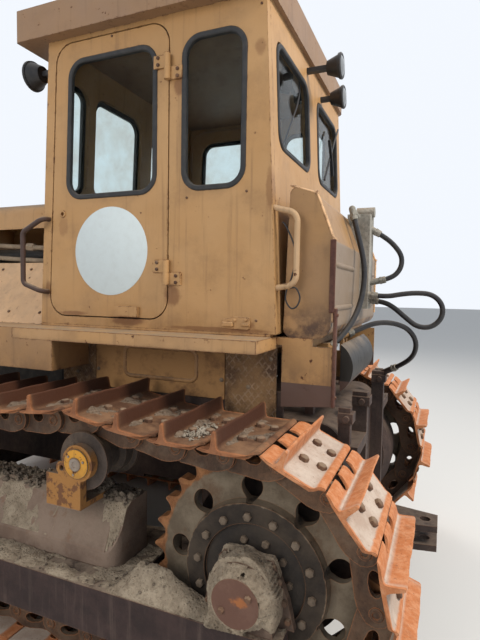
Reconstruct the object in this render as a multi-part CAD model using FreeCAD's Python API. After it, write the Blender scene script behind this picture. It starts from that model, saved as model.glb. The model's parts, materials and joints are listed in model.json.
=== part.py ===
import FreeCAD, Part
import math
import os
from FreeCAD import Vector

# Crawler bulldozer. X points to the blade, Y to the left, Z up, sizes in millimetres.
# The pieces are drawn about the sprocket shaft, x = 0 at the shaft and z = 0 on the ground,
# and each is moved at the end so that the machine's box is centred on the origin.

# Undercarriage
TRACK_CENTRE_Y = 940.0        # half the track gauge
SHOE_WIDTH = 500.0
PITCH = 203.2                 # pin to pin
LINK_COUNT = 38
LINK_HALF_HEIGHT = 62.5
RAIL_INNER = 52.0             # from the track's middle plane to a rail's inner side
RAIL_THICK = 45.0
SHOE_THICK = 12.0
GROUSER_HEIGHT = 65.0
LIP_HEIGHT = 12.0
TEETH = 27
SPROCKET_WIDTH = 70.0
TOOTH_TOP = 8.0               # above the pitch circle
TOOTH_TIP_R = 12.0
TOOTH_TIP_FLAT = 0.6          # turned off the tips
TOOTH_BEVEL = 20.0            # width of the bevel along the teeth, on the face
TOOTH_BEVEL_DEPTH = 7.0
SEAT_CLEAR = 1.0              # between a bushing and its seat, on the radius
BUSHING_R = 33.0
FIRST_PIN_DEG = 101.0         # where the first pin sits on the sprocket
IDLER_TREAD_R = 340.0
IDLER_GUESS_X = (2380.0, 2680.0)
RUN_CLEAR = 0.3               # between faces that seat without touching
PIN_CLEAR = 0.08              # between a pin and its bore, on the radius
CARRIER_X = (750.0, 1720.0)
CARRIER_PIN_Z = (1082.0, 1046.0)
CARRIER_TREAD_R = 100.0
CARRIER_FLANGE_R = 122.0
SPAN_SAG = (26.0, 34.0, 12.0)
ROLLER_COUNT = 5
ROLLER_FIRST_X = 520.0
ROLLER_STEP = 385.0
ROLLER_TREAD_R = 105.0
ROLLER_FLANGE_R = 118.0
CHAIN_CLEAR = 1.0             # between a carrier roller and the links above it
CARRIER_CAP_Y = TRACK_CENTRE_Y + 114.0
CARRIER_CAP_R = 62.0
CARRIER_PLATE = 36.0
CARRIER_RING = 14.0
CARRIER_BRACKET_X = (-17.0, 163.0)   # behind and ahead of the roller's shaft
CARRIER_FOOT = 160.0
CARRIER_FOOT_THICK = 24.0
CARRIER_LUG_AHEAD = 82.0
CARRIER_LUG_DROP = 30.0
CARRIER_LUG_R = 28.0
CARRIER_BOLT_R = 12.0

# Track frame
BEAM_BOTTOM = 270.0
BEAM_TOP = 457.0
OUTER_BEAM_Y = (1062.0, 1160.0)
INNER_BEAM_Y = (662.0, 800.0)
BEAM_REAR_X = -150.0
BEAM_FRONT_X = 2330.0
DECK_REAR_X = 500.0
DECK_THICK = 20.0
GUARD_REAR_X = 600.0
GUARD_FRONT_X = 2000.0
GUARD_LIP_Z = 522.0
GUARD_TOP_Z = 712.0
GUARD_OUT_Y = 1034.0
FORK_THICK = 42.0
FORK_HALF_HEIGHT = 52.0

# Main frame and power train
RAIL_Y = (310.0, 390.0)
RAIL_Z = (600.0, 820.0)
FRAME_REAR_X = 450.0
FRAME_FRONT_X = 3050.0
AXLE_HALF_WIDTH = 550.0
AXLE_X = (-230.0, FRAME_REAR_X - RUN_CLEAR)
AXLE_Z = (330.0, 1050.0)
FINAL_DRIVE_R = 330.0
ENGINE_X = (1560.0, 2700.0)
ENGINE_Z = (740.0, 1700.0)
SHELL_X = (2780.0, FRAME_FRONT_X)
SHELL_HALF_WIDTH = 452.0
HOOD_TOP = 2121.0
HOOD_SIDE_BOTTOM = 1973.0
HOOD_REAR_X = 1320.0
HOOD_SHEET = 12.0
EXHAUST_PLACE = (2430.0, 180.0)
CLEANER_PLACE = (2050.0, -180.0)
CLEANER_Z = (2300.0, 2350.0, 2410.0)   # foot of the neck, foot and top of the cap
CLEANER_R = (68.0, 40.0, 78.0)         # body, neck, cap
PANEL_TOP_Z = 1771.0

# Platform and cab
PLATFORM_X = (50.0, 1314.0)
PLATFORM_HALF_WIDTH = 900.0
PLATFORM_Z = (1379.0, 1432.0)
CAB_BASE_Z = 1445.0
CAB_HALF_WIDTH = 720.0
CAB_WALL = 40.0
CAB_BASE_X = (31.0, 1307.0)
CAB_TOP_X = (99.0, 1246.0)
CAB_TOP_Z = 2835.0
ROOF_TOP_Z = 2985.0
ROOF_X = (78.0, 1400.0)
ROOF_HALF_WIDTH = 780.0
ROOF_CORNER_R = [70.0, 12.0, 12.0, 70.0]
DOOR_GAP = 6.0
DOOR_REAR_X = 556.0
DOOR_FRONT_X = (1247.0, 1190.0)
DOOR_Z = (1490.0, 2808.0)
DOOR_CORNER_R = 95.0
DOOR_LOCK = (1161.0, 1993.0)
LOCK_R = (17.0, 9.0)          # boss, keyway
DOOR_CATCH_X = (707.0, 832.0)
WINDOW_Z = (2059.0, 2728.0)
WINDOW_R = 90.0
DOOR_WINDOW_X = (615.0, 1140.0)
QUARTER_WINDOW_X = (180.0, 487.0)
REAR_WINDOW_Y = (88.0, 620.0)
REAR_WINDOW_Z = (2240.0, 2705.0)
WINDSCREEN_Y = ((460.0, 610.0), (-40.0, 400.0), (-610.0, -157.0))
WINDSCREEN_Z = (2130.0, 2690.0)
GLASS_THICK = 6.0
HINGE_R = 14.0
HINGE_OUT = 17.0              # hinge line outside the cab's side
HINGE_HEIGHT = 112.0
HINGE_Z = (1702.0, 2605.0)
HINGE_SPLIT = 0.5

# Tank and rear gear
TANK_STEP = 60.0              # from the cab's side in to the tank's
TANK_HALF_WIDTH = CAB_HALF_WIDTH - TANK_STEP
TANK_FRONT_X = 20.0
TANK_TOP_FRONT_X = 0.0
TANK_REAR_X = -185.0
TANK_TOP_REAR_X = -112.0
TANK_TOP_Z = 2066.0
TANK_TOP_REAR_Z = 2026.0
TANK_SHOULDER_Z = 1832.0
TANK_BOTTOM_Z = 1430.0
CRADLE_PLATE = 14.0
CRADLE_BOTTOM_Z = 1131.0
SHIELD_X = -200.0
SHIELD_BULGE = 55.0
SHIELD_Y = (-120.0, 520.0)
SHIELD_Z = (1190.0, 1398.0)
SHIELD_SHEET = 8.0
SHIELD_RIB_X = -30.0
SHIELD_RIB_Y = (392.0, 408.0)
HOSE_D = 27.0
DRAWBAR_END_X = -620.0
DRAWBAR_PIN_R = 26.0
DRAWBAR_Z = (335.0, 465.0)
HITCH_POSTS = (
    # x, y and z ranges of a post; each side has one of both
    ((-298.0, AXLE_X[0] - RUN_CLEAR), (300.0, 360.0), (335.0, 1166.0)),
    ((-264.0, -214.0), (558.0, 606.0), (930.0, 1140.0)),
)
HITCH_BAR_Z = (930.0, 980.0)
CLAMP_OVER = 12.0             # how far a clamp stands out of its post
CLAMP_Z = (62.0, 20.0)        # its foot and head below the post's top
CLAMP_BOLT_R = 13.0
CLAMP_BOLT_OUT = 30.0

# Blade, push arms and lift cylinders
BLADE_FRONT_X = 4700.0
BLADE_HALF_WIDTH = 1610.0
BLADE_HEIGHT = 1300.0
BLADE_DEPTH = 300.0
BLADE_SKIN = 22.0
BLADE_BOTTOM_Z = 60.0
BLADE_BEAMS = (
    # foot and head height, how far the back is drawn in at foot and head, depth
    (BLADE_HEIGHT * 12.0 / 130.0, BLADE_HEIGHT * 43.0 / 130.0, (100.0, 0.0), 150.0),
    (BLADE_HEIGHT * 85.0 / 130.0, BLADE_HEIGHT * 101.0 / 130.0, (30.0, 30.0), 110.0),
)
BLADE_END_Z = (BLADE_HEIGHT * 40.0 / 130.0, BLADE_HEIGHT * 76.0 / 130.0)   # the end plates' backs
BLADE_WAIST_Z = BLADE_HEIGHT * 62.0 / 130.0
EDGE_TOP_Z = BLADE_BOTTOM_Z + BLADE_HEIGHT / 10.0
ARM_FRONT_Z = BLADE_HEIGHT * 33.0 / 130.0       # where the push arms meet the blade
BRACE_HEAD_Z = BLADE_HEIGHT * 93.0 / 130.0
TRUNNION_X = 1450.0
TRUNNION_Z = 400.0
TRUNNION_R = 55.0
ARM_Y = (1240.0, 1400.0)
ARM_HALF_HEIGHT = 105.0
LIFT_PIVOT = (2960.0, 1520.0)
LIFT_EYE = (4190.0, 640.0)
LIFT_Y = 640.0
BARREL_R = 66.0
ROD_R = 32.0
EAR_GAP = 38.0                # from the rod's middle plane to an ear on the blade
GLAND_LENGTH = 60.0
BORE_CLEAR = 4.0              # between the rod and the barrel's bore behind its gland

PITCH_R = PITCH / (2.0 * math.sin(2.0 * math.pi / TEETH))
IDLER_PIN_R = math.hypot(IDLER_TREAD_R + RUN_CLEAR + LINK_HALF_HEIGHT, PITCH / 2.0)
PIN_BOTTOM_Z = LINK_HALF_HEIGHT + SHOE_THICK + GROUSER_HEIGHT
SHAFT_Z = PIN_BOTTOM_Z + PITCH_R
IDLER_Z = PIN_BOTTOM_Z + IDLER_PIN_R
MID_X = (BLADE_FRONT_X + DRAWBAR_END_X) / 2.0


def save(name, shape):
    """Write one node, moved so that the machine's box is centred on the origin."""
    moved = shape.copy()
    moved.translate(Vector(-MID_X, 0, 0))
    moved.exportStep("parts/" + name + ".step")


def box(x, y, z):
    """A block between two values on each axis."""
    corner = Vector(min(x), min(y), min(z))
    return Part.makeBox(abs(x[1] - x[0]), abs(y[1] - y[0]), abs(z[1] - z[0]), corner)


def rod(start, end, radius):
    """A round bar between two points."""
    a = Vector(*start)
    b = Vector(*end)
    return Part.makeCylinder(radius, (b - a).Length, a, b - a)


def face_of(points):
    """A flat face from its corner points."""
    corners = [Vector(*p) for p in points]
    return Part.Face(Part.makePolygon(corners + [corners[0]]))


def side_prism(outline, y):
    """An outline of (x, z) points, extruded between two values of y."""
    return face_of([(x, y[0], z) for x, z in outline]).extrude(Vector(0, y[1] - y[0], 0))


def cross_prism(outline, x):
    """An outline of (y, z) points, extruded between two values of x."""
    return face_of([(x[0], y, z) for y, z in outline]).extrude(Vector(x[1] - x[0], 0, 0))


def plan_prism(outline, z):
    """An outline of (x, y) points, extruded between two values of z."""
    return face_of([(x, y, z[0]) for x, y in outline]).extrude(Vector(0, 0, z[1] - z[0]))


def rounded_wire(corners, radii):
    """A closed wire through flat corners, each rounded by an arc of its radius."""
    count = len(corners)
    points = [Vector(*c) for c in corners]
    edges = []
    last_end = None
    first_start = None
    for i in range(count):
        before = (points[i - 1] - points[i]).normalize()
        after = (points[(i + 1) % count] - points[i]).normalize()
        half = math.acos(max(-1.0, min(1.0, before.dot(after)))) / 2.0
        reach = radii[i] / math.tan(half)
        start = points[i] + before * reach
        end = points[i] + after * reach
        if last_end is None:
            first_start = start
        elif (start - last_end).Length > 1e-6:
            edges.append(Part.LineSegment(last_end, start).toShape())
        if radii[i] > 0:
            middle_way = (before + after).normalize()
            middle = points[i] + middle_way * (radii[i] / math.sin(half) - radii[i])
            edges.append(Part.Arc(start, middle, end).toShape())
        last_end = end
    if (first_start - last_end).Length > 1e-6:
        edges.append(Part.LineSegment(last_end, first_start).toShape())
    return Part.Wire(edges)


def rounded_side_prism(outline, radii, y):
    """A rounded outline of (x, z) points, extruded between two values of y."""
    wire = rounded_wire([(x, y[0], z) for x, z in outline], radii)
    return Part.Face(wire).extrude(Vector(0, y[1] - y[0], 0))


def rounded_cross_prism(outline, radii, x):
    """A rounded outline of (y, z) points, extruded between two values of x."""
    wire = rounded_wire([(x[0], y, z) for y, z in outline], radii)
    return Part.Face(wire).extrude(Vector(x[1] - x[0], 0, 0))


def turned(profile, x, z, angle=360.0):
    """A profile of (radius, y) points, turned about the line along Y through x and z."""
    face = face_of([(x + r, y, z) for r, y in profile])
    return face.revolve(Vector(x, 0, z), Vector(0, 1, 0), angle)


def mirrored(shape):
    """The same piece on the other side of the machine."""
    return shape.mirror(Vector(0, 0, 0), Vector(0, 1, 0))


def pair(shape):
    """A piece and its mirror image as one node of separate solids."""
    return Part.makeCompound([shape, mirrored(shape)])


def fuse(shapes):
    """All shapes joined into one, with the seams between them taken out."""
    return shapes[0].multiFuse(shapes[1:]).removeSplitter()


def bent_path(points, radius_of):
    """Straight runs joined by tangent arcs, and the arcs' radii."""
    way = [Vector(*p) for p in points]
    edges = []
    radii = []
    last = way[0]
    for i in range(1, len(way) - 1):
        back = way[i - 1] - way[i]
        ahead = way[i + 1] - way[i]
        turn = math.pi - back.getAngle(ahead)
        radius = radius_of(min(back.Length, ahead.Length), turn)
        reach = radius * math.tan(turn / 2.0)
        start = way[i] + back.normalize() * reach
        end = way[i] + ahead.normalize() * reach
        inward = (back + ahead).normalize()
        middle = way[i] + inward * (radius / math.cos(turn / 2.0) - radius)
        if (start - last).Length > 1e-6:
            edges.append(Part.LineSegment(last, start).toShape())
        edges.append(Part.Arc(start, middle, end).toShape())
        radii.append(radius)
        last = end
    edges.append(Part.LineSegment(last, way[-1]).toShape())
    return Part.Wire(edges), radii


def tube(points, diameter, bend_radius):
    """A round bar bent at its points with one bend radius."""
    path, _ = bent_path(points, lambda run, turn: bend_radius)
    way = Vector(*points[1]) - Vector(*points[0])
    ring = Part.Wire(Part.makeCircle(diameter / 2.0, Vector(*points[0]), way))
    return path.makePipeShell([ring], True, False)


def hose(name, points, diameter):
    """A hose as straight runs and wide arcs; prints its bend radii and its length."""
    path, radii = bent_path(points, lambda run, turn: 0.45 * run / math.tan(turn / 2.0))
    way = Vector(*points[1]) - Vector(*points[0])
    ring = Part.Wire(Part.makeCircle(diameter / 2.0, Vector(*points[0]), way))
    solid = path.makePipeShell([ring], True, False)
    section = math.pi * diameter * diameter / 4.0
    print(name, "length", round(path.Length, 1), "volume ratio",
          round(solid.Volume / (section * path.Length), 4),
          "radii", [round(r) for r in radii])
    return solid


def window_outline(x, z, lean=0.0):
    """The four corners of a window, its front edge leaning back by lean at the top."""
    return [(x[0], z[0]), (x[1], z[0]), (x[1] - lean, z[1]), (x[0], z[1])]


def shrunk(outline, gap):
    """A four-cornered outline drawn in by a gap on every side."""
    (x0, z0), (x1, _), (x2, z2), (x3, _) = outline
    return [(x0 + gap, z0 + gap), (x1 - gap, z0 + gap), (x2 - gap, z2 - gap),
            (x3 + gap, z2 - gap)]


# Track chain


def arc_points(cx, cz, radius, start_deg, end_deg):
    """Points along an arc, one each half degree."""
    steps = max(2, int(abs(end_deg - start_deg) * 2))
    turn = [math.radians(start_deg + (end_deg - start_deg) * i / steps) for i in range(steps + 1)]
    return [(cx + radius * math.cos(a), cz + radius * math.sin(a)) for a in turn]


def sagging(start, end, sag):
    """Points along a hanging span."""
    steps = 60
    points = []
    for i in range(1, steps):
        t = i / steps
        points.append((start[0] + (end[0] - start[0]) * t,
                       start[1] + (end[1] - start[1]) * t - 4.0 * sag * t * (1.0 - t)))
    return points


def pin_line(idler_x):
    """The pins' closed way, from the sprocket's top down, forward and back along the top."""
    carriers = list(zip(CARRIER_X, CARRIER_PIN_Z))
    down = arc_points(0.0, SHAFT_Z, PITCH_R, FIRST_PIN_DEG, 270.0)
    up = arc_points(idler_x, IDLER_Z, IDLER_PIN_R, -90.0, 86.0)
    meet = arc_points(0.0, SHAFT_Z, PITCH_R, 84.0, FIRST_PIN_DEG)
    line = down + sagging(down[-1], up[0], 0.0) + up
    line += sagging(up[-1], carriers[1], SPAN_SAG[2]) + [carriers[1]]
    line += sagging(carriers[1], carriers[0], SPAN_SAG[1]) + [carriers[0]]
    line += sagging(carriers[0], meet[0], SPAN_SAG[0]) + meet
    return line


def walk(line):
    """Pins one pitch apart along a line; returns them and what is left to the line's end."""
    pins = [line[0]]
    here = 0
    for _ in range(LINK_COUNT):
        x0, z0 = pins[-1]
        i = here
        while i < len(line) - 1 and math.hypot(line[i + 1][0] - x0, line[i + 1][1] - z0) < PITCH:
            i += 1
        if i >= len(line) - 1:
            return pins, math.hypot(line[-1][0] - x0, line[-1][1] - z0) - PITCH
        low, high = 0.0, 1.0
        for _ in range(40):
            t = (low + high) / 2.0
            x = line[i][0] + (line[i + 1][0] - line[i][0]) * t
            z = line[i][1] + (line[i + 1][1] - line[i][1]) * t
            if math.hypot(x - x0, z - z0) < PITCH:
                low = t
            else:
                high = t
        pins.append((x, z))
        here = i
    left = math.hypot(line[-1][0] - pins[-1][0], line[-1][1] - pins[-1][1])
    return pins, left + 1.0


def tensioned():
    """The idler's place at which the chain closes, and its pins there."""
    near, far = IDLER_GUESS_X
    for _ in range(40):
        middle = (near + far) / 2.0
        pins, left = walk(pin_line(middle))
        if len(pins) > LINK_COUNT and left > 0.0:
            far = middle
        else:
            near = middle
    pins, _ = walk(pin_line(far))
    return far, pins[:LINK_COUNT]


IDLER_X, PINS = tensioned()


def link_frames():
    """Each link's first pin, its direction and its outward normal."""
    frames = []
    for i, (x0, z0) in enumerate(PINS):
        x1, z1 = PINS[(i + 1) % LINK_COUNT]
        length = math.hypot(x1 - x0, z1 - z0)
        way = ((x1 - x0) / length, (z1 - z0) / length)
        frames.append(((x0, z0), way, (way[1], -way[0])))
    return frames


def offset_loop(height):
    """The chain's closed outline at a height above the pin line."""
    frames = link_frames()
    loop = []
    for i, (pin, _, normal) in enumerate(frames):
        before = frames[i - 1][2]
        share = height / (1.0 + normal[0] * before[0] + normal[1] * before[1])
        loop.append((pin[0] + (normal[0] + before[0]) * share,
                     pin[1] + (normal[1] + before[1]) * share))
    return loop


# One shoe's outer outline: distance along the link, height above the shoe's plate
SHOE_PROFILE = (
    (4.0, 0.0),
    (20.0, 0.0),
    (27.0, GROUSER_HEIGHT),
    (38.0, GROUSER_HEIGHT),
    (46.0, 0.0),
    (160.0, 0.0),
    (174.0, LIP_HEIGHT),
    (196.0, LIP_HEIGHT),
)


def shoe_loop():
    """The closed outline of all shoes with their grousers and lips."""
    plate_top = LINK_HALF_HEIGHT + SHOE_THICK
    loop = []
    for pin, way, normal in link_frames():
        for along, above in SHOE_PROFILE:
            height = plate_top + above
            loop.append((pin[0] + way[0] * along + normal[0] * height,
                         pin[1] + way[1] * along + normal[1] * height))
    return loop


def track():
    """The left track as one loop: shoes, two rows of links and the bushings between them."""
    half = SHOE_WIDTH / 2.0
    middle = TRACK_CENTRE_Y
    plate_foot = offset_loop(LINK_HALF_HEIGHT)
    rail_foot = offset_loop(-LINK_HALF_HEIGHT)
    shoes = side_prism(shoe_loop(), (middle - half, middle + half))
    shoes = shoes.cut(side_prism(plate_foot, (middle - half - 1.0, middle + half + 1.0)))
    pieces = [shoes]
    for side in (-1, 1):
        y = (middle + side * RAIL_INNER, middle + side * (RAIL_INNER + RAIL_THICK))
        rail = side_prism(plate_foot, y)
        pieces.append(rail.cut(side_prism(rail_foot, (y[0] - side, y[1] + side))))
    for x, z in PINS:
        corners = []
        for step in range(6):
            angle = math.radians(60.0 * step)
            corners.append((x + BUSHING_R * math.cos(angle), z + BUSHING_R * math.sin(angle)))
        pieces.append(side_prism(corners, (middle - RAIL_INNER, middle + RAIL_INNER)))
    return pieces[0].multiFuse(pieces[1:])


# Wheels of the undercarriage

SPROCKET_Y = 905.0            # the rim's inner face
RIM_R = PITCH_R + TOOTH_TOP - TOOTH_TIP_FLAT
SPROCKET_PROFILE = (
    (0.0, 930.0),
    (262.0, 930.0),
    (276.0, 952.0),
    (350.0, 952.0),
    (362.0, SPROCKET_Y),
    (RIM_R, SPROCKET_Y),
    (RIM_R, SPROCKET_Y + SPROCKET_WIDTH),
    (376.0, SPROCKET_Y + SPROCKET_WIDTH),
    (300.0, 984.0),
    (281.0, 989.0),
    (273.0, 1022.0),
    (198.0, 1022.0),
    (196.0, 1008.0),
    (70.0, 1008.0),
    (70.0, 1044.7),
    (0.0, 1044.7),
)
WINDOW_COUNT = 9
WINDOW_OUTER = (322.0, 43.0)       # radius of its place, radius of its end
WINDOW_INNER = (297.0, 27.0)
WINDOW_FIRST_DEG = 5.8


def egg(angle_deg):
    """One egg-shaped window through the sprocket's web."""
    (r1, a1), (r2, a2) = WINDOW_OUTER, WINDOW_INNER
    lean = math.acos((a1 - a2) / (r1 - r2))
    y = 880.0
    upper = [(r1 + a1 * math.cos(lean + math.pi), a1 * math.sin(lean)),
             (r2 + a2 * math.cos(lean + math.pi), a2 * math.sin(lean))]
    start = Vector(upper[0][0], y, upper[0][1])
    near = Vector(upper[1][0], y, upper[1][1])
    near_low = Vector(upper[1][0], y, -upper[1][1])
    low = Vector(upper[0][0], y, -upper[0][1])
    wire = Part.Wire([
        Part.LineSegment(start, near).toShape(),
        Part.Arc(near, Vector(r2 - a2, y, 0), near_low).toShape(),
        Part.LineSegment(near_low, low).toShape(),
        Part.Arc(low, Vector(r1 + a1, y, 0), start).toShape()])
    hole = Part.Face(wire).extrude(Vector(0, 200, 0))
    hole.rotate(Vector(0, 0, 0), Vector(0, -1, 0), angle_deg)
    hole.translate(Vector(0, 0, SHAFT_Z))
    return hole


def tooth_gap(angle_deg):
    """The valley between two teeth: a round seat whose flanks run into the rounded tips.

    Both faces are bevelled round the seat by a cone.
    """
    low = SPROCKET_Y - 1.0
    seat_r = BUSHING_R + SEAT_CLEAR
    half_turn = math.pi / TEETH
    tip_place = PITCH_R + TOOTH_TOP - TOOTH_TIP_R
    tip = (tip_place * math.cos(half_turn), tip_place * math.sin(half_turn))
    apart = math.hypot(tip[0] - PITCH_R, tip[1])
    lean = math.atan2(tip[1], tip[0] - PITCH_R) + math.acos((seat_r + TOOTH_TIP_R) / apart)
    leave = (PITCH_R + seat_r * math.cos(lean), seat_r * math.sin(lean))
    turns = (lean - math.pi, (lean - math.pi + half_turn) / 2.0, half_turn)
    touch, over, top = [(tip[0] + TOOTH_TIP_R * math.cos(a), tip[1] + TOOTH_TIP_R * math.sin(a))
                        for a in turns]
    beyond = ((PITCH_R + TOOTH_TOP + 3.0) * math.cos(half_turn),
              (PITCH_R + TOOTH_TOP + 3.0) * math.sin(half_turn))
    left = [Vector(p[0], low, p[1]) for p in (leave, touch, over, top, beyond)]
    right = [Vector(p.x, low, -p.z) for p in left]
    wire = Part.Wire([
        Part.LineSegment(left[0], left[1]).toShape(),
        Part.Arc(left[1], left[2], left[3]).toShape(),
        Part.LineSegment(left[3], left[4]).toShape(),
        Part.LineSegment(left[4], right[4]).toShape(),
        Part.LineSegment(right[4], right[3]).toShape(),
        Part.Arc(right[3], right[2], right[1]).toShape(),
        Part.LineSegment(right[1], right[0]).toShape(),
        Part.LineSegment(right[0], left[0]).toShape()])
    across = SPROCKET_WIDTH + 2.0
    seat = Part.makeCylinder(seat_r, across, Vector(PITCH_R, low, 0), Vector(0, 1, 0))
    tools = [seat, Part.Face(wire).extrude(Vector(0, across, 0))]
    wide = seat_r + TOOTH_BEVEL * (TOOTH_BEVEL_DEPTH + 1.0) / TOOTH_BEVEL_DEPTH
    for face, way in ((SPROCKET_Y, 1.0), (SPROCKET_Y + SPROCKET_WIDTH, -1.0)):
        tools.append(Part.makeCone(wide, seat_r, TOOTH_BEVEL_DEPTH + 1.0,
                                   Vector(PITCH_R, face - way, 0), Vector(0, way, 0)))
    gap = tools[0].multiFuse(tools[1:])
    gap.rotate(Vector(0, 0, 0), Vector(0, -1, 0), angle_deg)
    gap.translate(Vector(0, 0, SHAFT_Z))
    return gap


def sprocket():
    """The drive sprocket: toothed rim, dished web with windows, flange and shaft end."""
    wheel = turned(SPROCKET_PROFILE, 0.0, SHAFT_Z)
    cuts = [tooth_gap(FIRST_PIN_DEG + 360.0 / TEETH * i) for i in range(TEETH)]
    cuts += [egg(WINDOW_FIRST_DEG + 360.0 / WINDOW_COUNT * i) for i in range(WINDOW_COUNT)]
    return wheel.cut(cuts)


def idler():
    """The front idler: a rim with a middle flange, a web and a hub."""
    rim_out = RAIL_INNER + RAIL_THICK - 8.0
    flange = RAIL_INNER - 6.0
    profile = [(40.0, -rim_out + 10.0), (95.0, -rim_out + 10.0), (110.0, -30.0), (270.0, -30.0),
               (290.0, -rim_out), (IDLER_TREAD_R, -rim_out), (IDLER_TREAD_R, -flange),
               (IDLER_TREAD_R + 18.0, -flange + 8.0), (IDLER_TREAD_R + 18.0, flange - 8.0),
               (IDLER_TREAD_R, flange), (IDLER_TREAD_R, rim_out), (290.0, rim_out),
               (270.0, 30.0), (110.0, 30.0), (95.0, rim_out - 10.0), (40.0, rim_out - 10.0)]
    wheel = turned([(r, TRACK_CENTRE_Y + y) for r, y in profile], IDLER_X, IDLER_Z)
    reach = RAIL_INNER + RAIL_THICK + 8.0 - RUN_CLEAR
    shaft = rod((IDLER_X, TRACK_CENTRE_Y - reach, IDLER_Z),
                (IDLER_X, TRACK_CENTRE_Y + reach, IDLER_Z), 40.0)
    return wheel.fuse(shaft)


def roller(x, z, tread_r, flange_r, shaft_reach):
    """A flanged roller with its shaft ends, under or over the two rows of links."""
    inner = RAIL_INNER - 6.0
    outer = RAIL_INNER + RAIL_THICK
    edge = outer + 14.0
    profile = [(0.0, -shaft_reach), (34.0, -shaft_reach), (34.0, -edge), (flange_r, -edge),
               (flange_r, -outer - 2.0), (tread_r, -outer), (tread_r, -inner),
               (tread_r - 24.0, -inner + 12.0), (tread_r - 24.0, inner - 12.0), (tread_r, inner),
               (tread_r, outer), (flange_r, outer + 2.0), (flange_r, edge), (34.0, edge),
               (34.0, shaft_reach), (0.0, shaft_reach)]
    return turned([(r, TRACK_CENTRE_Y + y) for r, y in profile], x, z)


def roller_places():
    """The bottom rollers' places along the track."""
    return [ROLLER_FIRST_X + ROLLER_STEP * i for i in range(ROLLER_COUNT)]


def bottom_rollers():
    """The bottom rollers of the left track."""
    z = PIN_BOTTOM_Z + LINK_HALF_HEIGHT + RUN_CLEAR + ROLLER_TREAD_R
    reach = OUTER_BEAM_Y[0] - TRACK_CENTRE_Y - RUN_CLEAR
    return [roller(x, z, ROLLER_TREAD_R, ROLLER_FLANGE_R, reach) for x in roller_places()]


def carrier_z(i):
    """The height of a carrier roller's shaft, its tread just under the links above it."""
    x = CARRIER_X[i]
    reach = CARRIER_TREAD_R + LINK_HALF_HEIGHT + CHAIN_CLEAR
    heights = []
    for pin, way, normal in link_frames():
        ahead = pin[0] + way[0] * PITCH
        if normal[1] > 0.5 and min(pin[0], ahead) < x + PITCH and max(pin[0], ahead) > x - PITCH:
            heights.append(pin[1] + ((pin[0] - x) * normal[0] - reach) / normal[1])
    return min(heights)


def carrier_rollers():
    """The two rollers that carry the chain's upper run, with the caps on their outer ends."""
    rollers = []
    for i, x in enumerate(CARRIER_X):
        z = carrier_z(i)
        wheel = roller(x, z, CARRIER_TREAD_R, CARRIER_FLANGE_R, 112.0)
        cap_y = TRACK_CENTRE_Y + 112.0
        cap = rod((x, cap_y, z), (x, cap_y + 46.0, z), CARRIER_CAP_R)
        rollers.append(wheel.fuse(cap))
    return rollers


# Track frame


def bearing_stand():
    """The stand on the outer beam that carries the sprocket shaft's outer bearing."""
    y = (1045.0, 1072.0)
    plate = side_prism([(-175.0, BEAM_TOP), (175.0, BEAM_TOP), (150.0, 560.0), (95.0, 690.0),
                        (-95.0, 690.0), (-150.0, 560.0)], y)
    hub = rod((0.0, y[0], SHAFT_Z), (0.0, 1140.0, SHAFT_Z), 118.0)
    foot = box((-118.0, 118.0), (y[0], 1140.0), (BEAM_TOP, SHAFT_Z))
    cap = rod((0.0, 1140.0, SHAFT_Z), (0.0, 1188.0, SHAFT_Z), 86.0)
    return [plate, hub, foot, cap]


def spring_guard():
    """The pressed cover over the recoil spring, standing on the deck."""
    outline = [(INNER_BEAM_Y[1] + 6.0, BEAM_TOP), (GUARD_OUT_Y, BEAM_TOP),
               (GUARD_OUT_Y, GUARD_LIP_Z), (GUARD_OUT_Y - 78.0, GUARD_TOP_Z - 22.0),
               (GUARD_OUT_Y - 110.0, GUARD_TOP_Z), (INNER_BEAM_Y[1] + 6.0, GUARD_TOP_Z)]
    cover = cross_prism(outline, (GUARD_REAR_X, GUARD_FRONT_X))
    corner = box((GUARD_REAR_X - 1.0, GUARD_REAR_X + 60.0), (GUARD_OUT_Y - 60.0, GUARD_OUT_Y + 1.0),
                 (BEAM_TOP, GUARD_TOP_Z + 1.0))
    round_post = Part.makeCylinder(60.0, GUARD_TOP_Z - BEAM_TOP + 1.0,
                                   Vector(GUARD_REAR_X + 60.0, GUARD_OUT_Y - 60.0, BEAM_TOP))
    return cover.cut(corner.cut(round_post))


def carrier_post(i):
    """The bracket that holds a carrier roller's cap, and the foot that stands on the guard."""
    x = CARRIER_X[i]
    z = carrier_z(i)
    y = (CARRIER_CAP_Y, CARRIER_CAP_Y + CARRIER_PLATE)
    box_top = z - CARRIER_LUG_DROP - CARRIER_LUG_R
    behind, ahead = CARRIER_BRACKET_X
    face = box((x + behind, x + ahead), y, (GUARD_TOP_Z, box_top))
    ring = rod((x, y[0], z), (x, y[1], z), CARRIER_CAP_R + CARRIER_RING)
    lug_x = x + CARRIER_LUG_AHEAD
    lug_z = z - CARRIER_LUG_DROP
    lug = rod((lug_x, y[0], lug_z), (lug_x, y[1], lug_z), CARRIER_LUG_R)
    neck = side_prism([(x, z - CARRIER_CAP_R), (lug_x, box_top - 1.0),
                       (lug_x + 0.7 * CARRIER_LUG_R, box_top - 1.0),
                       (lug_x, lug_z + CARRIER_LUG_R - 2.0), (x, z + 0.6 * CARRIER_CAP_R)], y)
    foot = box((x + behind, x + 0.6 * ahead), (GUARD_OUT_Y - CARRIER_FOOT, y[1]),
               (GUARD_TOP_Z, GUARD_TOP_Z + CARRIER_FOOT_THICK))
    post = fuse([face, ring, lug, neck, foot])
    post = post.cut(rod((x, y[0] - 1.0, z), (x, y[1] + 1.0, z), CARRIER_CAP_R + RUN_CLEAR))
    return post.cut(rod((lug_x, y[0] - 1.0, lug_z), (lug_x, y[1] + 1.0, lug_z), CARRIER_BOLT_R))


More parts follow.
